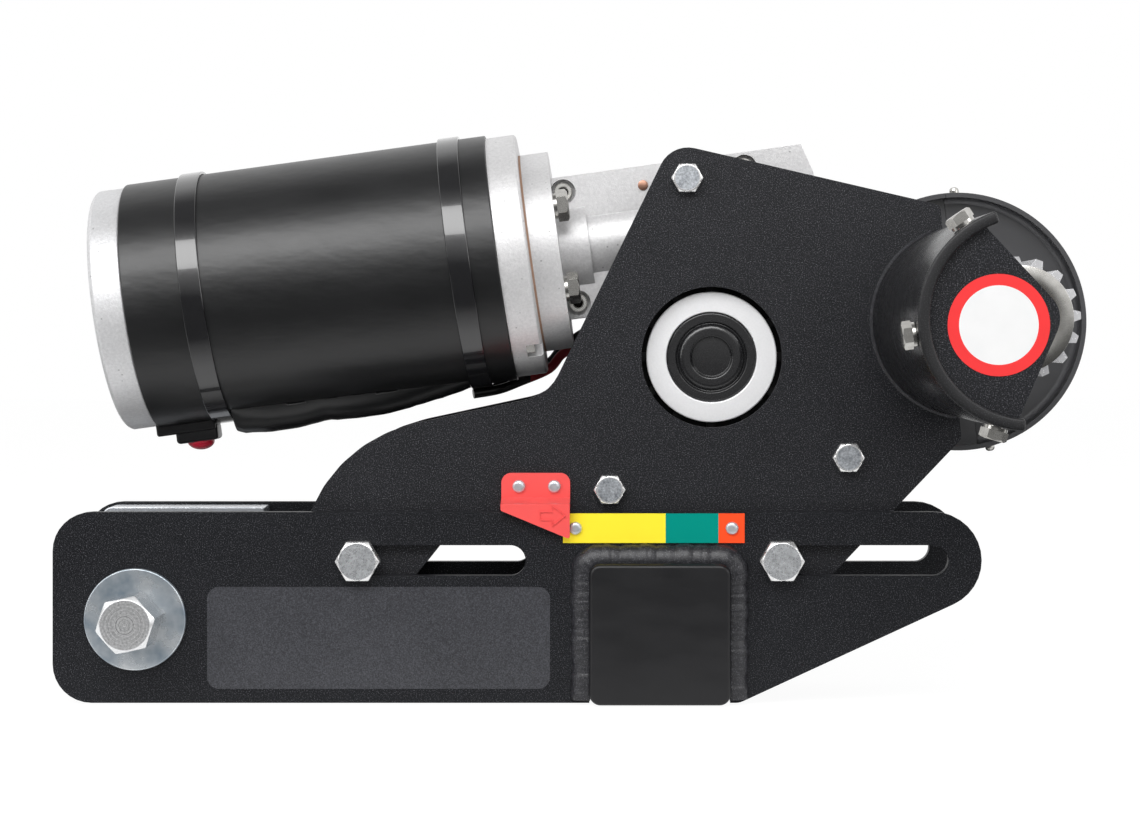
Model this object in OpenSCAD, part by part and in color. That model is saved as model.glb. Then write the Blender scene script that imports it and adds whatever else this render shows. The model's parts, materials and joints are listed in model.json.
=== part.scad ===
// Caravan motor mover: a slotted base clamped to a crossbar, and a drive unit that slides in it
// X runs towards the tyre, Y away from the roller guard's open end, Z up, in millimetres

/* [Base] */
// Thickness of each base plate
base_plate_t = 6; // [5:0.5:7]
// Clear width between the two base plates
base_inner_w = 72; // [71:1:76]
// Height of the base plates above the tube
base_over = 23; // [21:0.5:29]
// Radius of the base plates' closed corners
base_corner_r = 18; // [10:1:18]

/* [Crossbar tube] */
// Outside width of the square tube
tube_w = 65; // [62:0.5:65.5]
// Wall of the square tube
tube_wall = 4; // [3:0.5:6]
// Length of tube that stands out of the front plate
tube_front_len = 8; // [7:1:20]
// Length of tube that stands out of the rear plate
tube_rear_len = 60; // [30:1:90]
// Thickness of the plastic cap's flange
cap_t = 4; // [3:0.5:6]

/* [Slide] */
// Travel of the drive unit
travel = 70; // [60:1:74]
// Width of the slots
slot_w = 14; // [13.5:0.1:15]
// Depth of the slots' middle below the base's top
slot_drop = 22.3; // [20:0.1:24]

/* [Engagement spindle] */
// Distance from the base's closed end to the spindle
spindle_inset = 38.3; // [36:0.1:40]
// Distance from the spindle to the left guide bolt
spindle_gap = 102.8; // [101:0.1:106]
// Height of the spindle
spindle_z = 38.7; // [37:0.1:41]
// Radius of the spindle
spindle_r = 10; // [9:0.5:11]
// Width across flats of the spindle's hexagon
spindle_af = 24; // [22:1:26]
// Length of the spindle's hexagon
spindle_hex_len = 25; // [18:1:32]
// Radius of the front washer
washer_r = 23.5; // [20:0.5:25]
// Throw of the crank
crank_r = 44; // [40:0.5:44]

/* [Drive unit] */
// Thickness of each drive plate
drive_plate_t = 6; // [5.5:0.5:6.5]
// Running gap between a drive plate and a base plate
plate_gap = 0.5; // [0.3:0.1:0.9]
// Distance from the tube's middle to the hub
hub_x = 24.3; // [22:0.1:26]
// Height of the hub above the slots
hub_rise = 93.7; // [92:0.1:97]
// Tilt of the motor and gearbox
drive_tilt = 7.8; // [6:0.1:9]
// Radius of the hub's hole in the front plate
hub_hole_r = 32.7; // [31:0.1:34]

/* [Gears] */
// Module of all the gears
gear_module = 2.5; // [2.46:0.01:2.52]
// Teeth on the hub shaft's pinion
pinion_teeth = 20; // [20:1:20]
// Teeth on the idler
idler_teeth = 18; // [18:1:18]
// Teeth on the roller's gear
roller_teeth = 40; // [40:1:40]
// Teeth on the worm wheel
wheel_teeth = 38; // [38:1:38]
// Pitch radius of the worm
worm_r = 12.5; // [12:0.1:13]
// Thickness of each tooth that is left out for backlash
backlash = 0.16; // [0.12:0.01:0.24]

/* [Motor] */
// Outside radius of the motor's sleeve
motor_r = 58.6; // [57:0.1:60]
// Thickness of the sleeve
sleeve_t = 1.9; // [1.5:0.1:2.5]
// Wall of the motor's steel can
can_wall = 5; // [3:0.5:5]
// Length of the motor's steel can
can_len = 171.6; // [168:0.1:190]
// Length of the rear cap
rear_cap_len = 15; // [13:0.5:20]
// Radius of the motor's flange on the gearbox
flange_r = 47; // [46:0.5:49]
// Width of each strap round the sleeve
strap_w = 10; // [6:0.5:12]

/* [Roller and guard] */
// Radius over the roller's ribs
roller_r = 25.2; // [24:0.1:27]
// Radius of the roller between its ribs
roller_root_r = 20.5; // [18:0.1:22]
// Ribs on the roller
roller_ribs = 16; // [12:1:18]
// Outside radius of the guard, a half pipe
guard_r = 44.45; // [43:0.05:46]
// Wall of the guard
guard_wall = 4.85; // [3:0.05:6]
// Length of guard in front of the drive plate
guard_len = 192.5; // [170:0.5:210]
// Radius of the roller's shaft
shaft_r = 7; // [6.5:0.1:7.2]

/* [Gear case] */
// Room between the roller's gear and its case
case_gap = 7.1; // [6:0.1:7.4]
// Wall of the gear case
case_wall = 2.2; // [1.8:0.1:2.4]

/* [Hidden] */
$fn = 64;

// Clearances: a running fit, a press or seat, a flat seat and the overrun of a cut
run_fit = 0.05;
seat_fit = 0.02;
flat_gap = 0.2;
cut = 1;
arc_step = 12;

// Planes along Y, from the middle outwards
base_in = base_inner_w / 2;
base_out = base_in + base_plate_t;
drive_out = base_in - plate_gap;
drive_in = drive_out - drive_plate_t;
tube_front = base_out + tube_front_len;
tube_rear = base_out + tube_rear_len;

// Places in the XZ plane
base_h = tube_w + base_over;
tube_clear = 5.2;
toe_x = tube_w / 2 + tube_clear;
bolt_in_left = 31.2;
bolt_in_right = 18.5;
bolt_left = toe_x + travel + bolt_in_left;
bolt_right = toe_x + bolt_in_right;
base_left = bolt_left + spindle_gap + spindle_inset;
slot_z = base_h - slot_drop;
slot_r = slot_w / 2;
guide_a = [-bolt_left, slot_z];
guide_b = [bolt_right, slot_z];
spindle = [-base_left + spindle_inset, spindle_z];
hub = [hub_x, slot_z + hub_rise];
roller_angle = 8;
gear_line = gear_module * (pinion_teeth / 2 + idler_teeth + roller_teeth / 2);
axle = hub + gear_line * [cos(roller_angle), sin(roller_angle)];
idler_at = hub + gear_module * (pinion_teeth + idler_teeth) / 2 * [cos(roller_angle), sin(roller_angle)];
worm_line = gear_module * wheel_teeth / 2 + worm_r;
worm_at = hub + worm_line * [-sin(drive_tilt), cos(drive_tilt)];

// Bolts: M8 plate bolts, M12 guide bolts, M6 guard bolts
m8_r = 4;
m8_af = 13;
m8_head = 5.3;
m12_r = 6;
m12_af = 18;
m12_head = 7.5;
m6_r = 3;
m6_af = 10;
m6_head = 4;
washer_t = 1.6;
bolt_shares = [[-0.0958, 0.6908], [0.5258, -0.3875], [-0.395, -0.5108]];
bolt_crest = hub + bolt_shares[0] * gear_line;
bolt_fore = hub + bolt_shares[1] * gear_line;
bolt_aft = hub + bolt_shares[2] * gear_line;
plate_holes = [bolt_crest, bolt_fore, bolt_aft];
spacer_r = 7;
guide_spacer_r = 9;

// Base plates
tube_ramp_gap = 4.3;
ramp_r = 8;
weld_w = 6.5;
sleeve_r = 13.5;
sleeve_len = 12;
washer_plate_t = 3;

// Drive plates: outline corners, each from the hole that it goes round
foot_out = 27.7;
foot_r = 6;
foot_drop = 17.7;
shoulder_rise = 51.6;
shoulder_r = 67.3;
waist = [75.75, 17.4];
waist_r = 21;
crest = [7.3, 16.5];
crest_r = 14;
tip = [12.9, 53.8];
tip_r = 3;
chin = [3.1, 54.6];
chin_r = 4;
toe_out = 13.8;
foot_lean_up = 9.2;
foot_lean_down = 13.6;
recess_rise = 11.5;
recess_r = 10;
lobe_r = 30;

// Gearbox casting, in the motor's own frame: along the axis, and above it
box_half = 14;
block_half = 13.6;
wheel_half = 7;
cavity_half = wheel_half + 1.5;
box_from = -63.2;
box_to = 60;
box_up = 33.6;
box_slant = 4.2;
box_slant_down = 14;
wheel_case_r = 56;
wheel_cavity_r = 51;
tunnel_r = 19;
tunnel_bore_r = 16.5;
neck_r = 22.7;
neck_len = 14;
hub_boss_r = 26;
hub_boss_out = 24;
hub_r = 10;
bearing_r = 19;
bearing_w = 5.3;
crest_boss_r = 11;
lug_r = 7;
lug_at = 58;
lug_angles = [215, 270, 325];
socket_r = 4.3;
socket_recess_r = 5.9;
socket_recess = 6;
m5_r = 2.5;
socket_in = 4.9;
socket_down = 7.2;
socket_far = 32;
rib_count = 12;
rib_out_r = 45;
rib_w = 4;

// Hub ring and cap
ring_r = 30.4;
ring_bore_r = 21;
ring_t = 5.4;
cap_r = 20.8;
cap_step = 2;

// Gear case and gears
case_r = gear_module * (roller_teeth / 2 + 0.95) + case_gap + case_wall;
case_front = box_half + flat_gap;
case_back = drive_in - flat_gap;
case_rim_depth = 9.7;
case_rim = case_front - case_rim_depth;
case_hub_r = 32;
case_split = 2.6;
gear_gap = 0.6;
gear_from = case_front + case_wall + gear_gap;
gear_to = case_back - case_wall - gear_gap;
idler_pin_r = 6;
case_screw_r = 1.3;

// Motor stations along the axis, counted back from the gearbox flange
flange_t = 13;
gasket_t = 1;
bell_len = 14.3;
bell_r = 57.2;
cap_back_r = 57.2;
cap_round = 2.4;
notch_len = 7.4;
notch_w = 9;
notch_deep = 7;
notch_angles = [-36.5, 143.5];
notch_nut_af = 6.5;
notch_nut_h = 4;
flange_at = box_from - flange_t;
bell_at = flange_at - gasket_t - bell_len;
can_at = bell_at - can_len;
cap_at = can_at - rear_cap_len;
can_r = motor_r - sleeve_t;
strap_t = 1.5;
strap_shares = [0.183, 0.898];
core_r = 38;
magnet_t = 7;
commutator_r = 16;
motor_shaft_r = 7;
flange_bolt_ring = 38;
flange_bolt_up = 19.3;
shaft_bearing_r = 15;
shaft_bearing_w = 8;

// Guard and roller
guard_from_angle = 108;
guard_to_angle = 267;
guard_front = -drive_out - guard_len;
block_recess = 4;
block_front = guard_front + block_recess;
block_t = 17;
block_back = block_front + block_t;
block_nose_r = 12;
bush_wall = 2.5;
bush_len = 13;
bush_flange_r = 13;
bush_flange_t = 9;
roller_front = block_back + bush_flange_t + gear_gap;
roller_back = case_front - gear_gap - cut;
rib_tip_w = 3;
rib_base_w = 6;
roller_phase_angle = 3.2;
roller_face = 2.5;
guard_bolt_in = 12;
guard_bolt_angles = [124, 188, 254];
guard_bolt_len = 15;

// A corner list [x, y, radius] as points, each corner rounded by an arc
function turn_points(a, c, b, r) =
    let (u = (a - c) / norm(a - c), w = (b - c) / norm(b - c), half = acos(u * w) / 2,
         o = c + (u + w) / norm(u + w) * r / sin(half),
         p = c + u * r / tan(half) - o, q = c + w * r / tan(half) - o,
         from = atan2(p[1], p[0]), gap = atan2(q[1], q[0]) - from,
         sweep = gap > 180 ? gap - 360 : gap < -180 ? gap + 360 : gap,
         steps = max(2, ceil(abs(sweep) / arc_step)))
    [for (i = [0:steps]) o + r * [cos(from + sweep * i / steps), sin(from + sweep * i / steps)]];
function xy(v) = [v[0], v[1]];
function rounded(v) = let (n = len(v)) [
    for (i = [0:n - 1]) each (v[i][2] == 0 ? [xy(v[i])]
        : turn_points(xy(v[(i + n - 1) % n]), xy(v[i]), xy(v[(i + 1) % n]), v[i][2]))];

// A gear's outline: involute flanks at 20 degrees, from root to tip
pressure_angle = 20;
function inv_angle(r, base_r) = let (a = acos(min(1, base_r / r))) tan(a) * 180 / PI - a;
function half_tooth(teeth, r) =
    let (pitch_r = gear_module * teeth / 2, base_r = pitch_r * cos(pressure_angle))
    90 / teeth + inv_angle(pitch_r, base_r) - inv_angle(max(r, base_r), base_r)
        - backlash / 2 / pitch_r * 180 / PI;
function gear_points(teeth, phase) =
    let (pitch_r = gear_module * teeth / 2, root_r = pitch_r - 1.25 * gear_module,
         low_r = max(root_r, pitch_r * cos(pressure_angle)), tip_r = pitch_r + 0.95 * gear_module,
         radii = [root_r, low_r + 0.01 * gear_module, (low_r + tip_r) / 2, tip_r])
    [for (i = [0:teeth - 1], side = [-1, 1], k = [0:3])
        let (r = side < 0 ? radii[k] : radii[3 - k],
             a = phase + 360 * i / teeth + side * half_tooth(teeth, r))
        r * [cos(a), sin(a)]];

// A solid along Y from a shape in the XZ plane, and a round bar along Y
module slab(y0, y1) translate([0, y1, 0]) rotate([90, 0, 0]) linear_extrude(y1 - y0) children();
module rod(at, r, y0, y1) translate([at[0], y1, at[1]]) rotate([90, 0, 0]) cylinder(r = r, h = y1 - y0);
module at(p) translate([p[0], p[1]]) children();

// The motor's frame: X along its axis with zero at the worm's middle, and a round bar there
module on_motor() translate([worm_at[0], 0, worm_at[1]]) rotate([0, -drive_tilt, 0]) children();
module bar(r, s0, s1) translate([s0, 0, 0]) rotate([0, 90, 0]) cylinder(r = r, h = s1 - s0);
module turned(points) rotate([0, 90, 0]) rotate_extrude() polygon([for (p = points) [p[1], p[0]]]);

// An arm round two circles, with tangent sides
module arm(a, ra, b, rb, y0, y1) {
    u = (b - a) / norm(b - a);
    lean = (ra - rb) / norm(b - a);
    side = sqrt(1 - lean * lean);
    n1 = lean * u + side * [-u[1], u[0]];
    n2 = lean * u - side * [-u[1], u[0]];
    rod(a, ra, y0, y1);
    rod(b, rb, y0, y1);
    slab(y0, y1) polygon([a + ra * n1, b + rb * n1, b + rb * n2, a + ra * n2]);
}

// A hexagon head that stands on XY, its top corners turned off
module hex_head(af, h) {
    top_r = af / 2 * 0.95;
    intersection() {
        cylinder(r = af / sqrt(3), h = h, $fn = 6);
        rotate_extrude() polygon([[0, 0], [af * 0.6, 0], [af * 0.6, h - af * 0.09], [top_r, h], [0, h]]);
    }
}
module bolt(r, shank, af, h) {
    hex_head(af, h);
    translate([0, 0, -shank]) cylinder(r = r - seat_fit, h = shank + h / 2);
}
module to_front(p, y) translate([p[0], y, p[1]]) rotate([90, 0, 0]) children();
module to_rear(p, y) translate([p[0], y, p[1]]) rotate([-90, 0, 0]) children();

// Base plates, notched over the tube, with two slots
nose = [bolt_right + travel, slot_z];
ramp_from = tube_w / 2 + tube_ramp_gap;
nose_far = nose - [ramp_from, 0];
ramp_angle = atan2(nose_far[1], nose_far[0]) - asin(slot_drop / norm(nose_far));
nose_end = nose[0] + slot_drop;
base_corners = [
    [-base_left, 0, base_corner_r], [-base_left, base_h, base_corner_r], [nose_end, base_h, slot_drop],
    [nose_end, (nose_end - ramp_from) * tan(ramp_angle), slot_drop], [ramp_from, 0, ramp_r]
];
scale_left = 12.1;
scale_right = 6.6;
scale_down = 0.6;
scale_clear = 2.3;
scale_len = tube_w + scale_left + scale_right;
scale_w = base_over - weld_w - scale_down - scale_clear;
scale_from = -tube_w / 2 - scale_left;
scale_to = scale_from + scale_len;
scale_high = base_h - scale_down;
scale_low = scale_high - scale_w;
scale_t = 0.8;
scale_screw_in = 5.8;
small_screw_r = 1.5;
pan_head_r = 3;
pan_head_h = 1.8;
scale_holes = [
    [scale_from + scale_screw_in, (scale_low + scale_high) / 2],
    [scale_to - scale_screw_in, (scale_low + scale_high) / 2]
];
module slot_from(p) {
    at(p) circle(slot_r);
    at(p + [travel, 0]) circle(slot_r);
    at(p - [0, slot_r]) square([travel, slot_w]);
}
module base_plate_2d() {
    difference() {
        polygon(rounded(base_corners));
        at([-tube_w / 2, -cut]) square([tube_w, tube_w + cut]);
        slot_from(guide_a);
        slot_from(guide_b);
        at(spindle) circle(sleeve_r + seat_fit);
    }
}
module base_plate_front() {
    color([0.13, 0.13, 0.14]) slab(-base_out, -base_in) difference() {
        base_plate_2d();
        for (p = scale_holes) at(p) circle(small_screw_r + run_fit);
    }
}
module base_plate_rear() {
    color([0.13, 0.13, 0.14]) slab(base_in, base_out) base_plate_2d();
}

// Bar along the rear plate's inner face, under its upper edge
brace_down = 1.2;
brace_h = 8.8;
brace_w = 21.7;
brace_in = 12;
brace_len = 78;
brace_r = 5;
module base_brace() {
    left = -base_left + brace_in;
    top = base_h - brace_down;
    color([0.72, 0.74, 0.77]) slab(base_in - brace_w, base_in) polygon(rounded([
        [left, top - brace_h, cut], [left, top, brace_r], [left + brace_len, top, cut],
            [left + brace_len, top - brace_h, cut]
    ]));
}

// Square tube that the crossbar slides into, its cap and its welds
tube_corner_r = tube_wall + cut;
module tube_2d(inset, r) {
    w = tube_w / 2 - inset;
    polygon(rounded([[-w, inset, r], [w, inset, r], [w, tube_w - inset, r], [-w, tube_w - inset, r]]));
}
module crossbar_tube() {
    color([0.1, 0.1, 0.1]) difference() {
        slab(-tube_front, tube_rear) tube_2d(0, tube_corner_r);
        slab(-tube_front - cut, tube_rear + cut) tube_2d(tube_wall, tube_corner_r - tube_wall);
    }
}
cap_grip = 15;
module tube_end_cap() {
    color([0.06, 0.06, 0.06]) {
        slab(-tube_front - cap_t, -tube_front) tube_2d(flat_gap, tube_corner_r);
        difference() {
            slab(-tube_front, -tube_front + cap_grip) tube_2d(tube_wall + flat_gap,
                tube_corner_r - tube_wall);
            slab(-tube_front + cut, -tube_front + cap_grip + cut) tube_2d(2 * tube_wall,
                tube_corner_r - tube_wall);
        }
    }
}
bead_shares = [[0, 0], [-1, 0], [-0.88, -0.36], [-0.64, -0.64], [-0.36, -0.88], [0, -1]];
module weld_run(len) rotate([0, 90, 0]) linear_extrude(len) polygon([for (q = bead_shares) weld_w * q]);
module weld_frame() {
    side = tube_w + weld_w - cut;
    at([-tube_w / 2 - weld_w, 0]) translate([0, 0, tube_w]) weld_run(tube_w + 2 * weld_w);
    translate([-tube_w / 2, 0, cut]) rotate([0, -90, 0]) weld_run(side);
    translate([tube_w / 2, 0, tube_w + weld_w]) rotate([0, 90, 0]) weld_run(side);
}
module tube_welds() {
    color([0.12, 0.12, 0.13]) {
        translate([0, -base_out, 0]) weld_frame();
        mirror([0, 1, 0]) translate([0, -base_out, 0]) weld_frame();
    }
}

// Spindle: bushes in both plates, washer, hexagon, crank arm and retaining clip
module spindle_sleeves() {
    color([0.2, 0.2, 0.21]) for (side = [0, 1]) mirror([0, side, 0]) difference() {
        rod(spindle, sleeve_r, base_out - base_plate_t - sleeve_len / 2, base_out);
        rod(spindle, spindle_r + run_fit, 0, base_out + cut);
    }
}
module spindle_washer() {
    color([0.72, 0.75, 0.79]) difference() {
        rod(spindle, washer_r, -base_out - washer_plate_t, -base_out);
        rod(spindle, spindle_r + 3 * run_fit, -base_out - 2 * washer_plate_t, 0);
    }
}
clip_t = 1.5;
hex_angle = 12;
clip_groove = cut;
module actuation_spindle() {
    front = base_out + washer_plate_t + flat_gap;
    color([0.75, 0.77, 0.8]) {
        to_front(spindle, -front) rotate(hex_angle) hex_head(spindle_af, spindle_hex_len);
        difference() {
            rod(spindle, spindle_r, -front, base_out + 2 * clip_t + 2 * cut);
            difference() {
                rod(spindle, spindle_r + cut, base_out + flat_gap,
                    base_out + flat_gap + clip_t + flat_gap);
                rod(spindle, spindle_r - clip_groove, 0, base_out + 2 * clip_t);
            }
        }
    }
}
module spindle_clip() {
    color([0.3, 0.3, 0.31]) difference() {
        rod(spindle, spindle_r + 2 * clip_t, base_out + flat_gap + run_fit, base_out + flat_gap + clip_t);
        rod(spindle, spindle_r - clip_groove + seat_fit, 0, base_out + 2 * clip_t);
    }
}
crank_rest_angle = 129.5;
crank_hub_r = 16;
crank_end_r = 8.5;
crank_pin_r = 5.5;
crank_from = -21;
crank_t = 8;
link_from = -3;
link_t = 8;
link_end_r = 9;
link_bolt_r = 14;
crank_pin_at = spindle + crank_r * [cos(crank_rest_angle), sin(crank_rest_angle)];
module crank_arm() {
    color([0.2, 0.2, 0.21]) {
        difference() {
            arm(spindle, crank_hub_r, crank_pin_at, crank_end_r, crank_from, crank_from + crank_t);
            rod(spindle, spindle_r + seat_fit, crank_from - cut, crank_from + crank_t + cut);
        }
        rod(crank_pin_at, crank_pin_r, crank_from + crank_t, link_from - cut);
    }
}
module engagement_link() {
    color([0.2, 0.2, 0.21]) difference() {
        arm(crank_pin_at, link_end_r, guide_a, link_bolt_r, link_from, link_from + link_t);
        rod(crank_pin_at, crank_pin_r + flat_gap, link_from - cut, link_from + link_t + cut);
        rod(guide_a, guide_spacer_r + run_fit, link_from - cut, link_from + link_t + cut);
    }
}

// Indicator strip on the base and pointer on the drive plate
module indicator_scale() {
    color([0.95, 0.82, 0.1]) slab(-base_out - scale_t, -base_out) difference() {
        at([scale_from, scale_low]) square([scale_len, scale_w]);
        for (p = scale_holes) at(p) circle(small_screw_r + run_fit);
    }
}
module pan_screw(shank) {
    rotate_extrude() polygon([
        [0, -shank], [small_screw_r, -shank], [small_screw_r, 0], [pan_head_r, 0],
        [pan_head_r, pan_head_h * 0.4], [pan_head_r * 0.8, pan_head_h * 0.85], [pan_head_r * 0.4,
            pan_head_h],
        [0, pan_head_h]
    ]);
}
module scale_screws() {
    color([0.8, 0.81, 0.83]) for (p = scale_holes)
        to_front(p, -base_out - scale_t) pan_screw(base_plate_t);
}
pointer_w = 31.8;
pointer_left = 28.6;
pointer_rise = 17.8;
pointer_drop = 12.2;
pointer_slant = 13.2;
pointer_from = scale_from - pointer_left;
pointer_top = base_h + pointer_rise;
pointer_low = base_h - pointer_drop;
pointer_left_low = pointer_low + pointer_slant;
pointer_corner_r = 4.5;
pointer_t = 2.5;
pointer_over = 1.4;
pointer_bend = base_h + pointer_over;
pointer_ahead = base_out + scale_t + pan_head_h + flat_gap;
pointer_hole_in = 8.1;
pointer_hole_gap = 16.4;
pointer_hole_down = 6.2;
pointer_holes = [for (x = [0, pointer_hole_gap]) [pointer_from + pointer_hole_in + x,
    pointer_top - pointer_hole_down]];
module position_pointer() {
    color([0.85, 0.16, 0.15]) difference() {
        intersection() {
            slab(-base_out - base_in, 0) polygon(rounded([
                [pointer_from, pointer_top, pointer_corner_r], [pointer_from, pointer_left_low, cut],
                [pointer_from + pointer_w, pointer_low, cut],
                [pointer_from + pointer_w, pointer_top, pointer_corner_r]
            ]));
            translate([pointer_from - cut, 0, 0]) rotate([90, 0,
                90]) linear_extrude(pointer_w + 2 * cut) polygon([
                [-drive_out, pointer_top + cut], [-drive_out - pointer_t, pointer_top + cut],
                [-drive_out - pointer_t, pointer_bend + 2 * pointer_t],
                [-pointer_ahead - pointer_t, pointer_bend + pointer_t],
                [-pointer_ahead - pointer_t, pointer_low - cut], [-pointer_ahead, pointer_low - cut],
                [-pointer_ahead, pointer_bend], [-drive_out, pointer_bend]
            ]);
        }
        for (p = pointer_holes) rod(p, small_screw_r + run_fit, -base_out, 0);
    }
}
module pointer_screws() {
    color([0.8, 0.81, 0.83]) for (p = pointer_holes) to_front(p,
        -drive_out - pointer_t) pan_screw(drive_plate_t);
}

// Drive plates
foot_z = slot_z - foot_drop;
recess_z = tube_w + recess_rise;
drive_corners = [
    [guide_a[0] - foot_out, foot_z, foot_r], [guide_a[0] - foot_out, slot_z + shoulder_rise, shoulder_r],
    [hub[0] - waist[0], hub[1] - waist[1], waist_r],
    [bolt_crest[0] - crest[0], bolt_crest[1] + crest[1], crest_r],
    [axle[0] - tip[0], axle[1] + tip[1], tip_r], [axle[0] - chin[0], axle[1] - chin[1], chin_r],
    [guide_b[0] + toe_out, foot_z, foot_r], [toe_x, foot_z, foot_r], [toe_x, recess_z, recess_r],
    [-toe_x - travel + foot_lean_up, recess_z, recess_r], [-toe_x - travel - foot_lean_down, foot_z,
        foot_r]
];
grommet_back = 44.5;
grommet_rise = 13;
grommet_at = hub + [-grommet_back, grommet_rise];
grommet_r = 7;
lead_r = 2.3;
module drive_plate_2d() {
    difference() {
        polygon(rounded(drive_corners));
        for (p = plate_holes) at(p) circle(m8_r + run_fit);
        for (p = [guide_a, guide_b]) at(p) circle(m12_r + run_fit);
    }
}
module drive_plate_front() {
    color([0.12, 0.12, 0.13]) slab(-drive_out, -drive_in) difference() {
        drive_plate_2d();
        at(hub) circle(hub_hole_r);
        at(axle) circle(guard_r + seat_fit);
        for (p = pointer_holes) at(p) circle(small_screw_r + run_fit);
    }
}
module drive_plate_rear() {
    color([0.12, 0.12, 0.13]) difference() {
        union() {
            slab(drive_in, drive_out) drive_plate_2d();
            rod(axle, lobe_r, drive_in, drive_out);
        }
        rod(axle, shaft_r + bush_wall + 2 * seat_fit, drive_in - cut, drive_out + cut);
        rod(idler_at, idler_pin_r + seat_fit, drive_in - cut, drive_out + cut);
        rod(grommet_at, grommet_r + seat_fit, drive_in - cut, drive_out + cut);
    }
}

// Bolts through the plates, with their nuts, spacers and the bushes that run in the slots
guide_face = base_out + 2 * flat_gap;
module plate_bolts() {
    color([0.78, 0.8, 0.82]) {
        for (p = plate_holes) to_front(p, -drive_out) bolt(m8_r, 2 * drive_out + m8_head, m8_af, m8_head);
        for (p = [guide_a, guide_b])
            to_front(p, -guide_face) bolt(m12_r, 2 * guide_face + m12_head, m12_af, m12_head);
    }
}
module nut(r, af, h) {
    difference() {
        hex_head(af, h);
        translate([0, 0, -cut]) cylinder(r = r, h = h + 2 * cut);
    }
}
module plate_nuts() {
    color([0.78, 0.8, 0.82]) {
        for (p = plate_holes) to_rear(p, drive_out) nut(m8_r, m8_af, m8_head);
        for (p = [guide_a, guide_b]) to_rear(p, guide_face) nut(m12_r, m12_af, m12_head);
    }
}
module tube_between(p, ro, ri, y0, y1) {
    difference() {
        rod(p, ro, y0, y1);
        rod(p, ri, y0 - cut, y1 + cut);
    }
}
module plate_spacers() {
    color([0.55, 0.56, 0.58]) {
        for (p = [bolt_fore, bolt_aft]) tube_between(p, spacer_r, m8_r + run_fit, -drive_in, drive_in);
        for (p = [guide_a, guide_b]) tube_between(p, guide_spacer_r, m12_r + run_fit, -drive_in,
            drive_in);
    }
}
module guide_bushes() {
    color([0.55, 0.56, 0.58]) for (p = [guide_a, guide_b], side = [0, 1]) mirror([0, side, 0])
        tube_between(p, slot_r - run_fit, m12_r + run_fit, drive_out, guide_face);
}

// Gearbox casting in two halves, split at Y = 0, with the motor's flange on the rear half
module lugs_2d(r) for (a = lug_angles) at(hub + lug_at * [cos(a), sin(a)]) circle(r);
module gearbox_outside() {
    slab(-box_half, box_half) {
        at(hub) circle(wheel_case_r);
        lugs_2d(lug_r);
    }
    on_motor() {
        slab(-block_half, block_half) polygon([
            [box_from, -box_up], [box_to, -box_up], [box_to, box_up - box_slant_down],
                [box_to - box_slant, box_up],
            [box_from, box_up]
        ]);
        bar(tunnel_r, box_from, box_to);
        bar(neck_r, box_from, box_from + neck_len);
    }
    rod(hub, hub_boss_r, -hub_boss_out, 0);
    rod(bolt_crest, crest_boss_r, -drive_in, drive_in);
}
module gearbox_inside() {
    rod(hub, wheel_cavity_r, -cavity_half, cavity_half);
    rod(hub, bearing_r + seat_fit, -hub_boss_out + 2 * cut, box_half + cut);
    rod(bolt_crest, m8_r + run_fit, -drive_in - cut, drive_in + cut);
    on_motor() {
        bar(tunnel_bore_r, box_from + neck_len, box_to - 3 * shaft_bearing_w);
        bar(shaft_bearing_r + seat_fit, box_from - flange_t - cut, box_to - shaft_bearing_w);
        for (p = box_screws) translate([p[0], 0, p[1]]) screw_hole();
    }
    for (a = lug_angles) translate([hub[0] + lug_at * cos(a), 0, hub[1] + lug_at * sin(a)]) screw_hole();
}
screw_end = 11;
box_screws = [
    [box_from + socket_in, box_up - socket_down], [box_from + socket_in, socket_down - box_up],
    [box_to - socket_far, box_up - socket_down]
];
module screw_hole() {
    to_front([0, 0], screw_end) cylinder(r = m5_r + run_fit, h = box_half + screw_end + cut);
    to_front([0, 0], -box_half + socket_recess) cylinder(r = socket_recess_r, h = hub_boss_out);
}
module socket_screw() {
    head_h = m5_r * 2;
    hole_r = m5_r * 0.9;
    to_front([0, 0], -box_half + socket_recess) difference() {
        union() {
            cylinder(r = socket_r, h = head_h);
            translate([0, 0, -box_half]) cylinder(r = m5_r, h = box_half + cut);
        }
        translate([0, 0, head_h / 2]) cylinder(r = hole_r, h = head_h, $fn = 6);
    }
}
half_w = 2 * drive_out;
half_h = 3 * wheel_case_r + neck_r;
module half_space(side) translate([hub[0] - half_h, side < 0 ? -half_w : 0, hub[1] - half_h])
    cube([2 * half_h, half_w, 2 * half_h]);
module gearbox_body() {
    color([0.78, 0.79, 0.8]) difference() {
        union() {
            intersection() {
                gearbox_outside();
                half_space(1);
            }
            on_motor() bar(flange_r, box_from - flange_t, box_from);
        }
        gearbox_inside();
        on_motor() for (y = [-1, 1], z = [-1, 1]) translate([0, y * flange_bolt_y, z * flange_bolt_up])
            bar(m8_r + run_fit, box_from - flange_t - cut, box_from + cut);
    }
}
module gearbox_cover() {
    color([0.8, 0.81, 0.82]) difference() {
        union() {
            intersection() {
                gearbox_outside();
                half_space(-1);
            }
            for (i = [0:rib_count - 1]) translate([hub[0], -box_half, hub[1]]) rotate([90,
                360 * i / rib_count, 0])
                translate([hub_boss_r - cut, -rib_w / 2, -cut])
                    cube([rib_out_r - hub_boss_r, rib_w, hub_boss_out - box_half - cut]);
        }
        gearbox_inside();
    }
}
flange_bolt_y = sqrt(pow(flange_bolt_ring, 2) - pow(flange_bolt_up, 2));
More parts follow.
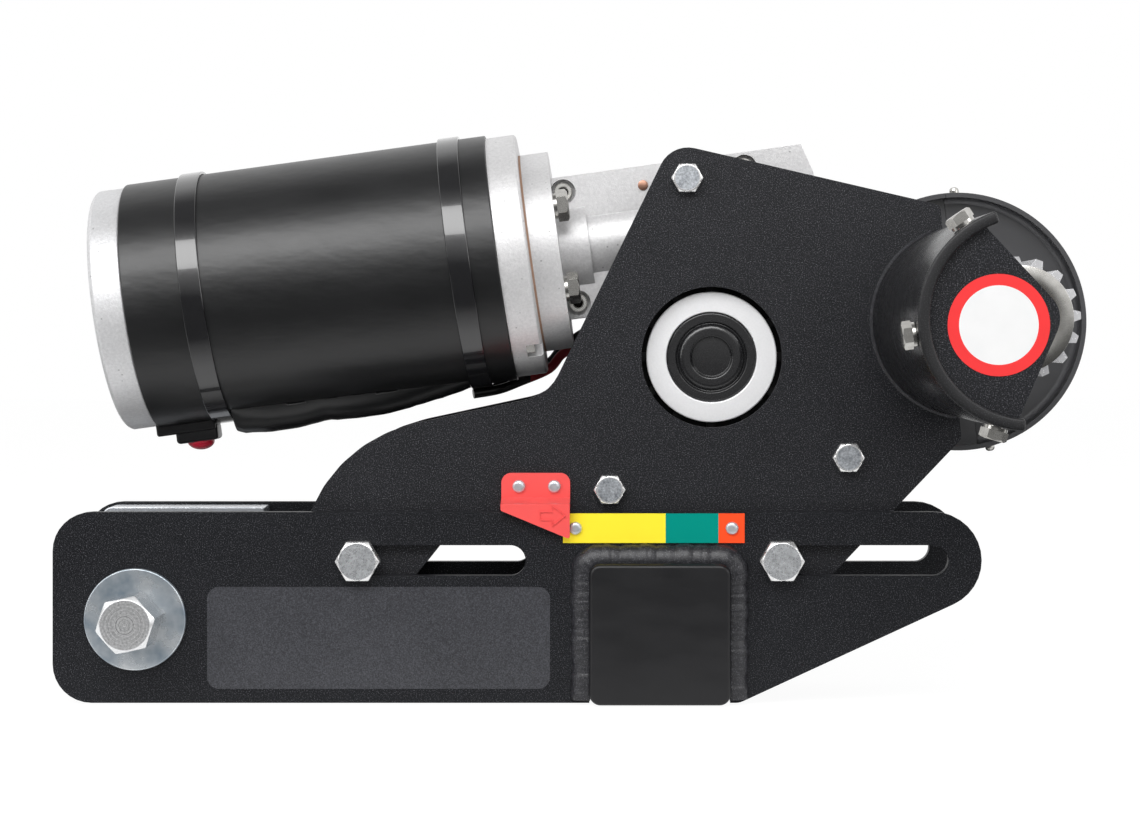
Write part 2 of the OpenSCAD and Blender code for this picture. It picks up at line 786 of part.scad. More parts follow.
module gearbox_screws() {
    color([0.7, 0.71, 0.73]) {
        on_motor() for (p = box_screws) translate([p[0], 0, p[1]]) socket_screw();
        for (a = lug_angles) translate([hub[0] + lug_at * cos(a), 0,
            hub[1] + lug_at * sin(a)]) socket_screw();
    }
}
module flange_gasket() {
    color([0.72, 0.5, 0.35]) on_motor() difference() {
        bar(flange_r, flange_at - gasket_t, flange_at);
        bar(flange_r - 3 * sleeve_t, flange_at - 2 * gasket_t, flange_at + cut);
        for (y = [-1, 1], z = [-1, 1]) translate([0, y * flange_bolt_y, z * flange_bolt_up])
            bar(m8_r + run_fit, flange_at - 2 * gasket_t, flange_at + cut);
    }
}
flange_bolt_len = flange_t + bell_len / 2;
module flange_bolts() {
    color([0.78, 0.8, 0.82]) on_motor() for (y = [-1, 1], z = [-1, 1])
        translate([box_from + washer_t, y * flange_bolt_y, z * flange_bolt_up]) rotate([0, 90, 0]) {
            bolt(m8_r, flange_bolt_len, m8_af, m8_head);
            translate([0, 0, -washer_t]) cylinder(r = m8_af / 2 - cut / 2, h = washer_t);
        }
    color([0.78, 0.8, 0.82]) on_motor() for (a = notch_angles) rotate([a, 0, 0])
        translate([bell_at + bell_len - notch_len, 0, -bell_r + notch_deep / 2 - cut / 4]) rotate([0,
            90, 0])
            hex_head(notch_nut_af, notch_nut_h);
}

// Hub ring, rubber cap and the ball bearings
module hub_ring() {
    color([0.86, 0.87, 0.88]) tube_between(hub, ring_r, ring_bore_r, -hub_boss_out - ring_t,
        -hub_boss_out);
}
module hub_seal_cap() {
    face = cap_step * 2.4;
    color([0.06, 0.06, 0.06]) to_front(hub, -hub_boss_out) rotate_extrude() polygon([
        [0, 0], [cap_r, 0], [cap_r, face - cap_step / 2], [cap_r * 0.97, face - cap_step * 0.2],
        [cap_r * 0.8, face - cap_step * 0.2], [cap_r * 0.775, face - cap_step], [cap_r * 0.74,
            face - cap_step],
        [cap_r * 0.72, face - cap_step * 0.5], [cap_r * 0.68, face - cap_step * 0.15], [cap_r * 0.62,
            face],
        [cap_r * 0.5, face], [cap_r * 0.46, face - cap_step * 0.2], [cap_r * 0.44, face - cap_step],
        [0, face - cap_step * 0.85]
    ]);
}
module bearing_ring(ri, ro, w) {
    difference() {
        cylinder(r = ro, h = w);
        translate([0, 0, -cut]) cylinder(r = ri, h = w + 2 * cut);
        for (z = [-cut, w - w / 6]) translate([0, 0, z]) difference() {
            cylinder(r = (2 * ro + ri) / 3, h = w / 6 + cut);
            translate([0, 0, -cut]) cylinder(r = (ro + 2 * ri) / 3, h = w);
        }
    }
}
bell_seat = bell_at + bell_len - shaft_bearing_w - cut;
module ball_bearings() {
    color([0.7, 0.72, 0.74]) {
        to_rear(hub, cavity_half + seat_fit) bearing_ring(hub_r + seat_fit, bearing_r, bearing_w);
        to_front(hub, -cavity_half - cut) bearing_ring(hub_r + seat_fit, bearing_r, bearing_w);
        on_motor() for (s = [cap_at + rear_cap_len / 2, bell_seat, box_to - 2 * shaft_bearing_w - cut])
            translate([s, 0, 0]) rotate([0, 90, 0])
                bearing_ring(motor_shaft_r + seat_fit, shaft_bearing_r, shaft_bearing_w - cut);
    }
}

// Gear case, split across the roller's axis
split_dir = [cos(roller_angle), sin(roller_angle)];
split_at = axle + case_split * split_dir;
module case_side(side) {
    reach = 2 * gear_line;
    translate([split_at[0], 0, split_at[1]]) rotate([0, -roller_angle, 0])
        translate([side < 0 ? -reach : flat_gap, 0, -reach]) cube([reach, case_back + cut, 2 * reach]);
}
case_tabs = [1, -1];
module case_half(side) {
    difference() {
        intersection() {
            union() {
                arm(hub, case_hub_r, axle, case_r, case_front, case_back);
                rod(axle, case_r, case_rim, case_front + case_wall);
            }
            case_side(side);
        }
        arm(hub, case_hub_r - case_wall, axle, case_r - case_wall, case_front + case_wall,
            case_back - case_wall);
        rod(axle, case_r - case_wall, case_rim - cut, case_front);
        rod(axle, shaft_r + cut, case_front - cut, case_back + cut);
        rod(hub, bearing_r + cut, case_front - cut, case_front + case_wall + cut);
        rod(idler_at, idler_pin_r + run_fit, case_back - case_wall - cut, case_back + cut);
        on_motor() bar(tunnel_r + flat_gap, box_from, box_to + flat_gap);
        for (a = case_tabs) case_screw_at(a) translate([0, 0, -case_wall - 2 * cut])
            cylinder(r = case_screw_r + run_fit, h = 2 * case_wall + 2 * cut);
    }
}
screw_off = 3 * case_wall;
module case_screw_at(side) {
    reach = sqrt(pow(case_r, 2) - pow(case_split + screw_off, 2));
    translate([axle[0], (case_front + case_back) / 2, axle[1]]) rotate([0, -roller_angle, 0])
        translate([case_split + screw_off, 0, side * reach]) rotate([0, side > 0 ? 0 : 180,
            0]) children();
}
module gear_case_left() {
    color([0.16, 0.16, 0.17]) case_half(-1);
}
module gear_case_right() {
    color([0.16, 0.16, 0.17]) case_half(1);
}
module case_screws() {
    head_r = case_screw_r * 1.8;
    head_h = case_screw_r * 2.3;
    low = cut / 2;
    color([0.7, 0.71, 0.73]) for (a = case_tabs) case_screw_at(a) rotate_extrude() polygon([
        [0, -case_wall], [case_screw_r, -case_wall], [case_screw_r, low], [head_r, low], [head_r,
            low + head_h * 0.45],
        [head_r * 0.85, low + head_h * 0.78], [head_r * 0.5, low + head_h * 0.96], [0, low + head_h]
    ]);
}
module idler_pin() {
    color([0.6, 0.61, 0.63]) rod(idler_at, idler_pin_r, gear_from, drive_out);
}

// Motor: bell, can, rear cap, sleeve, straps, magnets
module motor_bell() {
    inner = shaft_bearing_r + seat_fit;
    color([0.75, 0.76, 0.78]) on_motor() difference() {
        turned([
            [bell_at, 0], [bell_at, bell_r], [bell_at + bell_len - cut, bell_r],
            [bell_at + bell_len, bell_r - cut], [bell_at + bell_len, 0]
        ]);
        bar(can_r - can_wall, bell_at - cut, bell_at + bell_len / 3);
        bar(inner, bell_seat - seat_fit, bell_at + bell_len + cut);
        bar(motor_shaft_r + cut, bell_at - cut, bell_at + bell_len + cut);
        for (y = [-1, 1], z = [-1, 1]) translate([0, y * flange_bolt_y, z * flange_bolt_up])
            bar(m8_r, bell_at, bell_at + bell_len + cut);
        for (a = notch_angles) rotate([a, 0, 0])
            translate([bell_at + bell_len - notch_len, -notch_w / 2, -bell_r - cut])
                cube([notch_len + cut, notch_w, notch_deep + cut]);
    }
}
module motor_can() {
    color([0.3, 0.3, 0.31]) on_motor() difference() {
        bar(can_r, can_at, bell_at);
        bar(can_r - can_wall, can_at - cut, bell_at + cut);
    }
}
module motor_rear_cap() {
    wall = rear_cap_len / 2;
    color([0.68, 0.7, 0.72]) on_motor() difference() {
        turned([
            [can_at, 0], [can_at, cap_back_r], [cap_at + cap_round, cap_back_r],
            [cap_at + cap_round / 3, cap_back_r - cap_round / 3], [cap_at, cap_back_r - cap_round],
                [cap_at, 0]
        ]);
        bar(can_r - can_wall, cap_at + wall + shaft_bearing_w / 2, can_at + cut);
        bar(shaft_bearing_r + seat_fit, cap_at + wall - seat_fit, can_at + cut);
    }
}
module motor_sleeve() {
    color([0.07, 0.07, 0.07]) on_motor() difference() {
        bar(motor_r, can_at, bell_at);
        bar(can_r + seat_fit, can_at - cut, bell_at + cut);
    }
}
module sleeve_straps() {
    color([0.05, 0.05, 0.05]) on_motor() for (share = strap_shares) difference() {
        bar(motor_r + strap_t, can_at + share * can_len - strap_w / 2,
            can_at + share * can_len + strap_w / 2);
        bar(motor_r + seat_fit, can_at, bell_at);
    }
}
module motor_magnets() {
    outer = can_r - can_wall - seat_fit;
    gap_w = outer / 2;
    color([0.2, 0.2, 0.22]) on_motor() difference() {
        bar(outer, can_at + can_len * 0.18, bell_at - can_len * 0.18);
        bar(outer - magnet_t, can_at, bell_at);
        translate([can_at, -gap_w / 2, -can_r]) cube([can_len, gap_w, 2 * can_r]);
    }
}

// Cables: a rubber cover under the motor, the terminals, and the two leads into the rear plate
cover_angle = 8;
cover_from = can_at + strap_shares[0] * can_len + strap_w / 2 + flat_gap;
cover_to = can_at + strap_shares[1] * can_len - strap_w / 2 - flat_gap;
cover_r_from = 16;
cover_r_to = 12;
cover_deep = 8.7;
cover_shallow = 4.2;
cover_drop_from = motor_r + cover_deep - cover_r_from;
cover_drop_to = motor_r + cover_shallow - cover_r_to;
module cable_cover() {
    color([0.06, 0.06, 0.06]) on_motor() rotate([-cover_angle, 0, 0]) difference() {
        hull() {
            translate([0, 0, -cover_drop_from]) bar(cover_r_from, cover_from, cover_from + cut);
            translate([0, 0, -cover_drop_to]) bar(cover_r_to, cover_to - cut, cover_to);
        }
        bar(motor_r + seat_fit, can_at, bell_at);
    }
}
terminal_from = can_at + 2 * cut;
terminal_to = can_at + strap_shares[0] * can_len - strap_w / 2 - cut;
terminal_w = 18;
terminal_deep = 6.7;
terminal_drop = motor_r + terminal_deep;
boot_r = 7;
boot_drop = 5.5;
boot_at = terminal_to - boot_r - cut;
module terminal_base() {
    color([0.05, 0.05, 0.05]) on_motor() difference() {
        translate([terminal_from, -terminal_w / 2, -terminal_drop])
            cube([terminal_to - terminal_from, terminal_w, terminal_drop - motor_r / 2]);
        bar(motor_r + seat_fit, can_at - cut, bell_at);
    }
}
module terminal_boot() {
    color([0.8, 0.12, 0.16]) on_motor() translate([boot_at, 0, -terminal_drop]) rotate([180, 0, 0])
        rotate_extrude() polygon([
            [0, 0], [boot_r, 0], [boot_r, boot_drop * 0.4], [boot_r * 0.85, boot_drop * 0.75],
            [boot_r * 0.5, boot_drop], [0, boot_drop]
        ]);
}
function motor_point(s, r, turn) =
    let (y = r * sin(turn), n = -r * cos(turn), x = s)
    [worm_at[0] + x * cos(drive_tilt) - n * sin(drive_tilt), y,
        worm_at[1] + x * sin(drive_tilt) + n * cos(drive_tilt)];
lead_skin = motor_r + lead_r + flat_gap;
lead_step_angle = 6.4;
lead_angles = [4.8, 8, 16, 22, 23];
lead_rises = [strap_t, strap_t, cut, -cut, -5 * strap_t];
lead_stations = [cover_to + run_fit, cover_to + strap_w + lead_r, bell_at, bell_at + bell_len,
    flange_at + flange_t / 2];
lead_shares = [
    [-2.29, -1.3, -1, 0.24], [-1.07, -1.1, -0.54, 0.12], [-0.31, -0.84, -0.41, 0], [0, -0.44, -0.37, 0],
    [0, -0.32, -0.37, 0], [0, 0.4, -0.37, 0], [0, 1.5, -0.37, 0]
];
lead_gap = 0.74 * grommet_r;
function lead_knots(k) = concat(
    [for (i = [0:4]) motor_point(lead_stations[i], lead_skin + lead_rises[i],
        lead_angles[i] + k * lead_step_angle)],
    [for (q = lead_shares) [grommet_at[0] + q[0] * grommet_r, drive_in + (q[1] + k * q[3]) * grommet_r,
        grommet_at[1] + q[2] * grommet_r + k * lead_gap]]);
function curve_point(p, i, t) =
    let (n = len(p), a = p[max(0, i - 1)], b = p[i], c = p[i + 1], d = p[min(n - 1, i + 2)])
    0.5 * (2 * b + (c - a) * t + (2 * a - 5 * b + 4 * c - d) * t * t + (3 * b - a - 3 * c
        + d) * t * t * t);
function curve(p, steps) = concat(
    [for (i = [0:len(p) - 2], k = [0:steps - 1]) curve_point(p, i, k / steps)], [p[len(p) - 1]]);
function unit(v) = v / norm(v);
module sweep(path, r, sides) {
    n = len(path);
    rings = [for (i = [0:n - 1])
        let (t = unit(path[min(n - 1, i + 1)] - path[max(0, i - 1)]), u = unit(cross(t, [0.3, 0.2,
            1])), v = cross(t, u))
        for (k = [0:sides - 1]) path[i] + r * (cos(360 * k / sides) * u + sin(360 * k / sides) * v)];
    walls = [for (i = [0:n - 2], k = [0:sides - 1])
        let (a = i * sides + k, b = i * sides + (k + 1) % sides)
        each [[a, b, b + sides], [a, b + sides, a + sides]]];
    first = [for (k = [1:sides - 2]) [0, k + 1, k]];
    last = [for (k = [1:sides - 2]) [(n - 1) * sides, (n - 1) * sides + k, (n - 1) * sides + k + 1]];
    polyhedron(rings, concat(walls, first, last));
}
module motor_leads() {
    color([0.5, 0.1, 0.1]) for (k = [0, 1]) sweep(curve(lead_knots(k), 3), lead_r, 8);
}
module lead_grommet() {
    holes = [grommet_at - [0, lead_gap / 2], grommet_at + [0, lead_gap / 2]];
    color([0.06, 0.06, 0.06]) difference() {
        union() {
            rod(grommet_at, grommet_r, drive_in - 2 * cut, drive_out + 2 * cut);
            rod(grommet_at, grommet_r + 2 * cut, drive_in - 2 * cut, drive_in);
            rod(grommet_at, grommet_r + 2 * cut, drive_out, drive_out + 2 * cut);
        }
        for (p = holes) rod(p, lead_r + flat_gap, drive_in - 3 * cut, drive_out + 3 * cut);
    }
}

// Guard: a half pipe welded to the front drive plate, and the bearing block bolted in its end
module guard_wedge(from, to) {
    polygon(concat([[0, 0]], [for (i = [0:4]) 2 * guard_r * [
        cos(to + (360 + from - to) * i / 4), sin(to + (360 + from - to) * i / 4)]]));
}
module guard_bolt_at(a) translate([axle[0], guard_front + guard_bolt_in, axle[1]]) rotate([0, 90 - a,
    0]) children();
module guard_pipe() {
    color([0.12, 0.12, 0.13]) difference() {
        slab(guard_front, -drive_in) at(axle) difference() {
            circle(guard_r);
            circle(guard_r - guard_wall);
            guard_wedge(guard_from_angle, guard_to_angle);
        }
        for (a = guard_bolt_angles) guard_bolt_at(a) cylinder(r = m6_r + run_fit, h = 2 * guard_r);
    }
}
weld_ring = 1.2;
guard_weld_angle = 4;
module guard_weld() {
    color([0.12, 0.12, 0.13]) difference() {
        to_front(axle, -drive_out) rotate_extrude() polygon([
            [guard_r + seat_fit, 0], [guard_r + weld_ring, 0], [guard_r + seat_fit, weld_ring]
        ]);
        slab(-drive_out - 2 * weld_ring, 0) at(axle) guard_wedge(guard_from_angle + guard_weld_angle,
            guard_to_angle - guard_weld_angle);
    }
}
block_r = guard_r - guard_wall - seat_fit;
block_shares = [[-0.418, 0.894], [-0.089, -0.957]];
block_high = block_shares[0] * block_r;
block_low = block_shares[1] * block_r;
function tangent(p, r, side) =
    let (d = norm(p), a = atan2(p[1], p[0]) + side * acos(r / d))
    r * [cos(a), sin(a)];
function beyond(p, t) = p + (p - t) / 3;
nose_high = tangent(block_high, block_nose_r, -1);
nose_low = tangent(block_low, block_nose_r, 1);
nose_corner = (nose_high + nose_low) / (1 + nose_high * nose_low / pow(block_nose_r, 2));
module bearing_block() {
    color([0.12, 0.12, 0.13]) difference() {
        intersection() {
            rod(axle, block_r, block_front, block_back);
            slab(block_front - cut, block_back + cut) at(axle) polygon(rounded([
                [each beyond(block_high, nose_high), 0], [each nose_corner, block_nose_r],
                [each beyond(block_low, nose_low), 0], [-2 * block_r, -2 * block_r, 0], [-2 * block_r,
                    2 * block_r, 0]
            ]));
        }
        rod(axle, shaft_r + bush_wall + seat_fit, block_back - bush_len, block_back + cut);
        for (a = guard_bolt_angles) guard_bolt_at(a) translate([0, 0, guard_r - guard_bolt_len])
            cylinder(r = m6_r, h = guard_bolt_len);
    }
}
module guard_bolts() {
    color([0.8, 0.81, 0.83]) for (a = guard_bolt_angles) guard_bolt_at(a) translate([0, 0,
        guard_r + washer_t]) {
        bolt(m6_r, guard_bolt_len, m6_af, m6_head);
        translate([0, 0, -washer_t + cut / 4]) cylinder(r = m6_af / 2, h = washer_t - cut / 4);
    }
}
module roller_bushes() {
    ro = shaft_r + bush_wall;
    color([0.7, 0.55, 0.3]) {
        difference() {
            union() {
                rod(axle, ro, block_back - bush_len, block_back);
                rod(axle, bush_flange_r, block_back, block_back + bush_flange_t);
            }
            rod(axle, shaft_r + run_fit, block_back - bush_len + cut, block_back + bush_flange_t + cut);
        }
        tube_between(axle, ro, shaft_r + run_fit, drive_in, drive_out + 2 * cut);
    }
}
module roller_2d() {
    tip_a = asin(rib_tip_w / 2 / roller_r);
    root_a = asin(rib_base_w / 2 / roller_root_r);
    step = 360 / roller_ribs;
    polygon([for (i = [0:roller_ribs - 1]) each [
        for (q = [[roller_root_r, -step / 2], [roller_root_r, -root_a], [roller_r, -tip_a], [roller_r,
            tip_a],
            [roller_root_r, root_a]])
        q[0] * [cos(roller_phase_angle + i * step + q[1]), sin(roller_phase_angle + i * step + q[1])]]]);
}
module roller() {
    color([0.82, 0.83, 0.85]) difference() {
        union() {
            rod(axle, roller_root_r - flat_gap, roller_front, roller_front + roller_face + cut);
            slab(roller_front + roller_face, roller_back) at(axle) roller_2d();
        }
        rod(axle, shaft_r + seat_fit, roller_front - cut, roller_back + cut);
    }
}
module roller_shaft() {
    color([0.65, 0.66, 0.68]) rod(axle, shaft_r, block_back - bush_len + 2 * cut, drive_out + cut);
}

// Gears, in mesh at rest
module spur(p, teeth, phase, bore) {
    difference() {
        slab(gear_from, gear_to) at(p) polygon(gear_points(teeth, phase));
        rod(p, bore, gear_from - cut, gear_to + cut);
    }
}
module drive_pinion() {
    color([0.6, 0.6, 0.62]) spur(hub, pinion_teeth, roller_angle, hub_r + seat_fit);
}
module idler_gear() {
    color([0.6, 0.6, 0.62]) spur(idler_at, idler_teeth, roller_angle + 180 + 180 / idler_teeth,
        idler_pin_r + run_fit);
}
module roller_gear() {
    color([0.6, 0.6, 0.62]) spur(axle, roller_teeth, roller_angle + 180, shaft_r + seat_fit);
}
hub_shaft_front = hub_boss_out - 3 * cut;
module hub_shaft() {
    color([0.65, 0.66, 0.68]) rod(hub, hub_r, -hub_shaft_front, gear_to + gear_gap);
}
lead_angle = atan(gear_module / (2 * worm_r));
wheel_twist = 2 * wheel_half * tan(lead_angle) / (gear_module * wheel_teeth / 2) * 180 / PI;
module worm_wheel() {
    color([0.72, 0.58, 0.3]) difference() {
        translate([hub[0], wheel_half, hub[1]]) rotate([90, 0, 0])
            linear_extrude(2 * wheel_half, twist = -wheel_twist, slices = 2)
                rotate(90 + drive_tilt - wheel_twist / 2) polygon(gear_points(wheel_teeth, 0));
        rod(hub, hub_r + seat_fit, -2 * wheel_half, 2 * wheel_half);
    }
}
worm_len = 36;
worm_pitch = PI * gear_module;
worm_tip_r = worm_r + 0.9 * gear_module;
worm_root_r = worm_r - 1.2 * gear_module;
function worm_radius(a) =
    let (u = abs(a) / 360 * worm_pitch, half = worm_pitch / 4 - backlash,
         r = worm_r + (half - u) / tan(pressure_angle))
    max(worm_root_r, min(worm_tip_r, r));
worm_slices = 10;
module worm() {
    turns = worm_len / worm_pitch;
    shares = [-180, -130, -80, -60, -50, -36, -20, 0, 20, 36, 50, 60, 80, 130];
    color([0.6, 0.6, 0.62]) on_motor() difference() {
        translate([-worm_len / 2, 0, 0]) rotate([0, 90, 0])
            linear_extrude(worm_len, twist = -360 * turns, slices = ceil(worm_slices * turns))
                rotate(180 - 180 * turns) polygon([for (a = shares) worm_radius(a) * [cos(a), sin(a)]]);
        bar(motor_shaft_r + seat_fit, -worm_len, worm_len);
    }
}
module motor_shaft() {
    color([0.65, 0.66, 0.68]) on_motor() bar(motor_shaft_r, cap_at + rear_cap_len / 2 + cut,
        box_to - shaft_bearing_w - cut);
}
module armature() {
    from = can_at + can_len * 0.2;
    to = bell_at - can_len * 0.2;
    color([0.45, 0.3, 0.2]) on_motor() difference() {
        turned([
            [can_at + can_len * 0.06, 0], [can_at + can_len * 0.06, commutator_r],
                [can_at + can_len * 0.14, commutator_r],
            [can_at + can_len * 0.14, core_r * 0.7], [from, core_r * 0.85], [from, core_r], [to, core_r],
            [to, core_r * 0.85], [to + can_len * 0.06, core_r * 0.7], [to + can_len * 0.06, 0]
        ]);
        bar(motor_shaft_r + seat_fit, can_at - cut, bell_at);
    }
}

base_plate_front();
base_plate_rear();
crossbar_tube();
tube_end_cap();
tube_welds();
spindle_sleeves();
spindle_washer();
indicator_scale();
scale_screws();
actuation_spindle();
crank_arm();
spindle_clip();
engagement_link();
drive_plate_front();
drive_plate_rear();
plate_bolts();
plate_nuts();
plate_spacers();
guide_bushes();
gearbox_body();
gearbox_cover();
gearbox_screws();
hub_ring();
hub_seal_cap();
ball_bearings();
gear_case_left();
gear_case_right();
case_screws();
idler_pin();
flange_gasket();
flange_bolts();
motor_bell();
motor_can();
motor_rear_cap();
motor_sleeve();
sleeve_straps();
motor_magnets();
cable_cover();
terminal_base();
terminal_boot();
motor_leads();
lead_grommet();
guard_pipe();
guard_weld();
bearing_block();
guard_bolts();
roller_bushes();
position_pointer();
pointer_screws();
motor_shaft();
armature();
worm();
hub_shaft();
worm_wheel();
drive_pinion();
idler_gear();
roller();
roller_shaft();
roller_gear();
base_brace();
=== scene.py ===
# %% [markdown]
# # A caravan's motor mover, dressed for its picture
# A mover presses a ribbed roller against a caravan's wheel and drives it. Its plates, gears, bolts and
# joints come from the CAD frame, which is loaded first and never moved. Blender adds what CAD leaves plain:
# rounded edges, powder coat, cast and turned metal, rubber, the printed strip and the two leads.

# %% Load the frame
import json
import math
import bmesh
import bpy
from mathutils import Matrix, Vector

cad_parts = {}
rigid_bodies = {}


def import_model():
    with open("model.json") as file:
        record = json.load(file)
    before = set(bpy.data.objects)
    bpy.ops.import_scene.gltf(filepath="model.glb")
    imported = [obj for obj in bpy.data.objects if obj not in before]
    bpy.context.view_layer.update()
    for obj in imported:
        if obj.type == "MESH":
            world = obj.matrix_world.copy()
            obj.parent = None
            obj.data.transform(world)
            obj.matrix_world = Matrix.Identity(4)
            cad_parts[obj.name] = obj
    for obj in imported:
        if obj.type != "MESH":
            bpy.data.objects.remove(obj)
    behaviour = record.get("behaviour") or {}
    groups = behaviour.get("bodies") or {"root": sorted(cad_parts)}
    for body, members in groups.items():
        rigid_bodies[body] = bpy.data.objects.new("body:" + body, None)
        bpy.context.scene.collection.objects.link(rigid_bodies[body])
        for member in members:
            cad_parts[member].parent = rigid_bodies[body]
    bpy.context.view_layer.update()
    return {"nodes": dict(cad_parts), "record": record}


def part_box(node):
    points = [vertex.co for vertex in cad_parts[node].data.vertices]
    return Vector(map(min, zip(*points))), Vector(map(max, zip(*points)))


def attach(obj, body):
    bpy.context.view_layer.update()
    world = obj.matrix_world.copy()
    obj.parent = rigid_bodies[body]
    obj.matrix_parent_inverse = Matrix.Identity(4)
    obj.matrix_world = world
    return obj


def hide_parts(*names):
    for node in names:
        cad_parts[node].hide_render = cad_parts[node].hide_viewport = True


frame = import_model()
print("nodes:", len(frame["nodes"]))

# %% [markdown]
# A shader is a small sum, such as grain times two minus wear. Nodes make that sum hard to read, so this
# class wraps one socket and lets Python's own operators add the Math nodes. Colours and vectors never go
# through its operators, because a Math node would turn a colour grey. One function adds every node in this
# file: its settings first, because they decide which inputs it has, and then a value or a link for each.

# %% A socket that Python can do sums with
def add_node(tree, kind, settings=None, out=0, numbered=None, **named):
    """A node of any type: its settings first, then values or links by the number or name of an input."""
    made = tree.nodes.new(kind)
    for key, value in (settings or {}).items():
        setattr(made, key, value)
    given = dict(numbered or {})
    given.update((name.replace("_", " "), value) for name, value in named.items())
    for key, value in given.items():
        if isinstance(value, Value):
            tree.links.new(value.socket, made.inputs[key])
        else:
            made.inputs[key].default_value = value
    return Value(tree, made.outputs[out])


class Value:
    def __init__(self, tree, socket):
        self.tree = tree
        self.socket = socket

    def math(self, operation, *others):
        terms = dict(enumerate((self, *others)))
        return add_node(self.tree, "ShaderNodeMath", {"operation": operation}, numbered=terms)

    def swapped(self, operation, other):
        return add_node(self.tree, "ShaderNodeMath", {"operation": operation}, numbered={0: other, 1: self})

    def __add__(self, other):
        return self.math("ADD", other)

    def __sub__(self, other):
        return self.math("SUBTRACT", other)

    def __mul__(self, other):
        return self.math("MULTIPLY", other)

    def __pow__(self, other):
        return self.math("POWER", other)

    def __gt__(self, other):
        return self.math("GREATER_THAN", other)

    def __lt__(self, other):
        return self.math("LESS_THAN", other)

    def __radd__(self, other):
        return self.swapped("ADD", other)

    def __rsub__(self, other):
        return self.swapped("SUBTRACT", other)

    def __rmul__(self, other):
        return self.swapped("MULTIPLY", other)

    def between(self, low, high):
        """0 below low, 1 above high, and a ramp between them."""
        return add_node(self.tree, "ShaderNodeMapRange", {"clamp": True}, "Result", Value=self, From_Min=low,
                        From_Max=high)


operators = ("__add__", "__mul__", "__rsub__", "__lt__")
print("operators ready:", [name for name in operators if name in vars(Value)])

# %% [markdown]
# Every finish here is one Principled shader with a grain that is the same size on every piece. The pattern
# reads Object coordinates, which are metres in the frame, so a grain of 0.4 mm is written as 0.0004. The
# class below starts such a material, adds nodes to it, and mixes colours by a mask.

# %% A finish in the making
class Finish:
    def __init__(self, name, colour, rough, metal=0.0, coat=0.0, gloss=0.5):
        self.material = bpy.data.materials.new(name)
        self.material.use_nodes = True
        self.tree = self.material.node_tree
        self.shader = self.tree.nodes["Principled BSDF"]
        self.shader.inputs["Base Color"].default_value = (*colour, 1)
        self.shader.inputs["Roughness"].default_value = rough
        self.shader.inputs["Metallic"].default_value = metal
        self.shader.inputs["Coat Weight"].default_value = coat
        self.shader.inputs["Specular IOR Level"].default_value = gloss
        self.place = self.node("ShaderNodeTexCoord", out="Object")
        self.material.diffuse_color = (*colour, 1)

    def node(self, kind, settings=None, out=0, numbered=None, **named):
        return add_node(self.tree, kind, settings, out, numbered, **named)

    def grain(self, size, detail=2.0, stretch=(1, 1, 1), turn=(0, 0, 0), rough=0.5):
        """Noise whose blots are about size metres wide, from 0 to 1."""
        spot = self.place
        if stretch != (1, 1, 1) or turn != (0, 0, 0):
            spot = self.node("ShaderNodeMapping", Vector=spot, Scale=stretch, Rotation=turn)
        return self.node("ShaderNodeTexNoise", Vector=spot, Scale=1 / size, Detail=detail, Roughness=rough)

    def cells(self, size):
        """Distance from the nearest cell's middle, for cells about size metres wide."""
        return self.node("ShaderNodeTexVoronoi", {"feature": "F1"}, Vector=self.place, Scale=1 / size)

    def axis(self, name):
        return self.node("ShaderNodeSeparateXYZ", out=name, Vector=self.place)

    def away_from(self, x, z):
        """Metres to the line along Y that passes through x and z."""
        across = self.axis("X") - x
        up = self.axis("Z") - z
        return (across * across + up * up) ** 0.5

    def blend(self, mask, first, second):
        """One colour where the mask is 0 and another where it is 1: inputs 6 and 7 of a Mix node."""
        zero, one = [value if isinstance(value, Value) else (*value, 1) for value in (first, second)]
        return self.node("ShaderNodeMix", {"data_type": "RGBA"}, out=2, numbered={0: mask, 6: zero, 7: one})

    def wire(self, name, value):
        self.tree.links.new(value.socket, self.shader.inputs[name])

    def bump(self, height, depth, strength):
        """Height from 0 to 1, as deep as depth in metres."""
        made = self.node("ShaderNodeBump", out="Normal", Height=height, Distance=depth, Strength=strength)
        self.wire("Normal", made)


finishes = {}


def keep(name, finish):
    finishes[name] = finish.material
    print("finish:", name, "with", len(finish.tree.nodes), "nodes")


def shade(colour, share):
    """The same colour, share times as bright."""
    return tuple(channel * share for channel in colour)


print("half of a mid grey is", shade((0.5, 0.5, 0.5), 0.5))

# %% [markdown]
# Bolts, screws, the hub, the spindle and the roller all lie along Y, so X and Z say where each one is. They
# could be typed in, but the frame knows them: a single part lies in the middle of its node's box. A node
# that holds several screws is walked from corner to corner until each solid in it is known by itself.

# %% Where the round parts sit
def middle(node):
    """X and Z of the middle of a node's box."""
    low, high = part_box(node)
    return (low[0] + high[0]) / 2, (low[2] + high[2]) / 2


def merged_copy(node):
    """A node's loose triangles, merged to one mesh with whole flat faces."""
    mesh = bmesh.new()
    mesh.from_mesh(frame["nodes"][node].data)
    bmesh.ops.remove_doubles(mesh, verts=mesh.verts, dist=2e-6)
    bmesh.ops.dissolve_limit(mesh, angle_limit=math.radians(0.4), verts=mesh.verts, edges=mesh.edges)
    return mesh


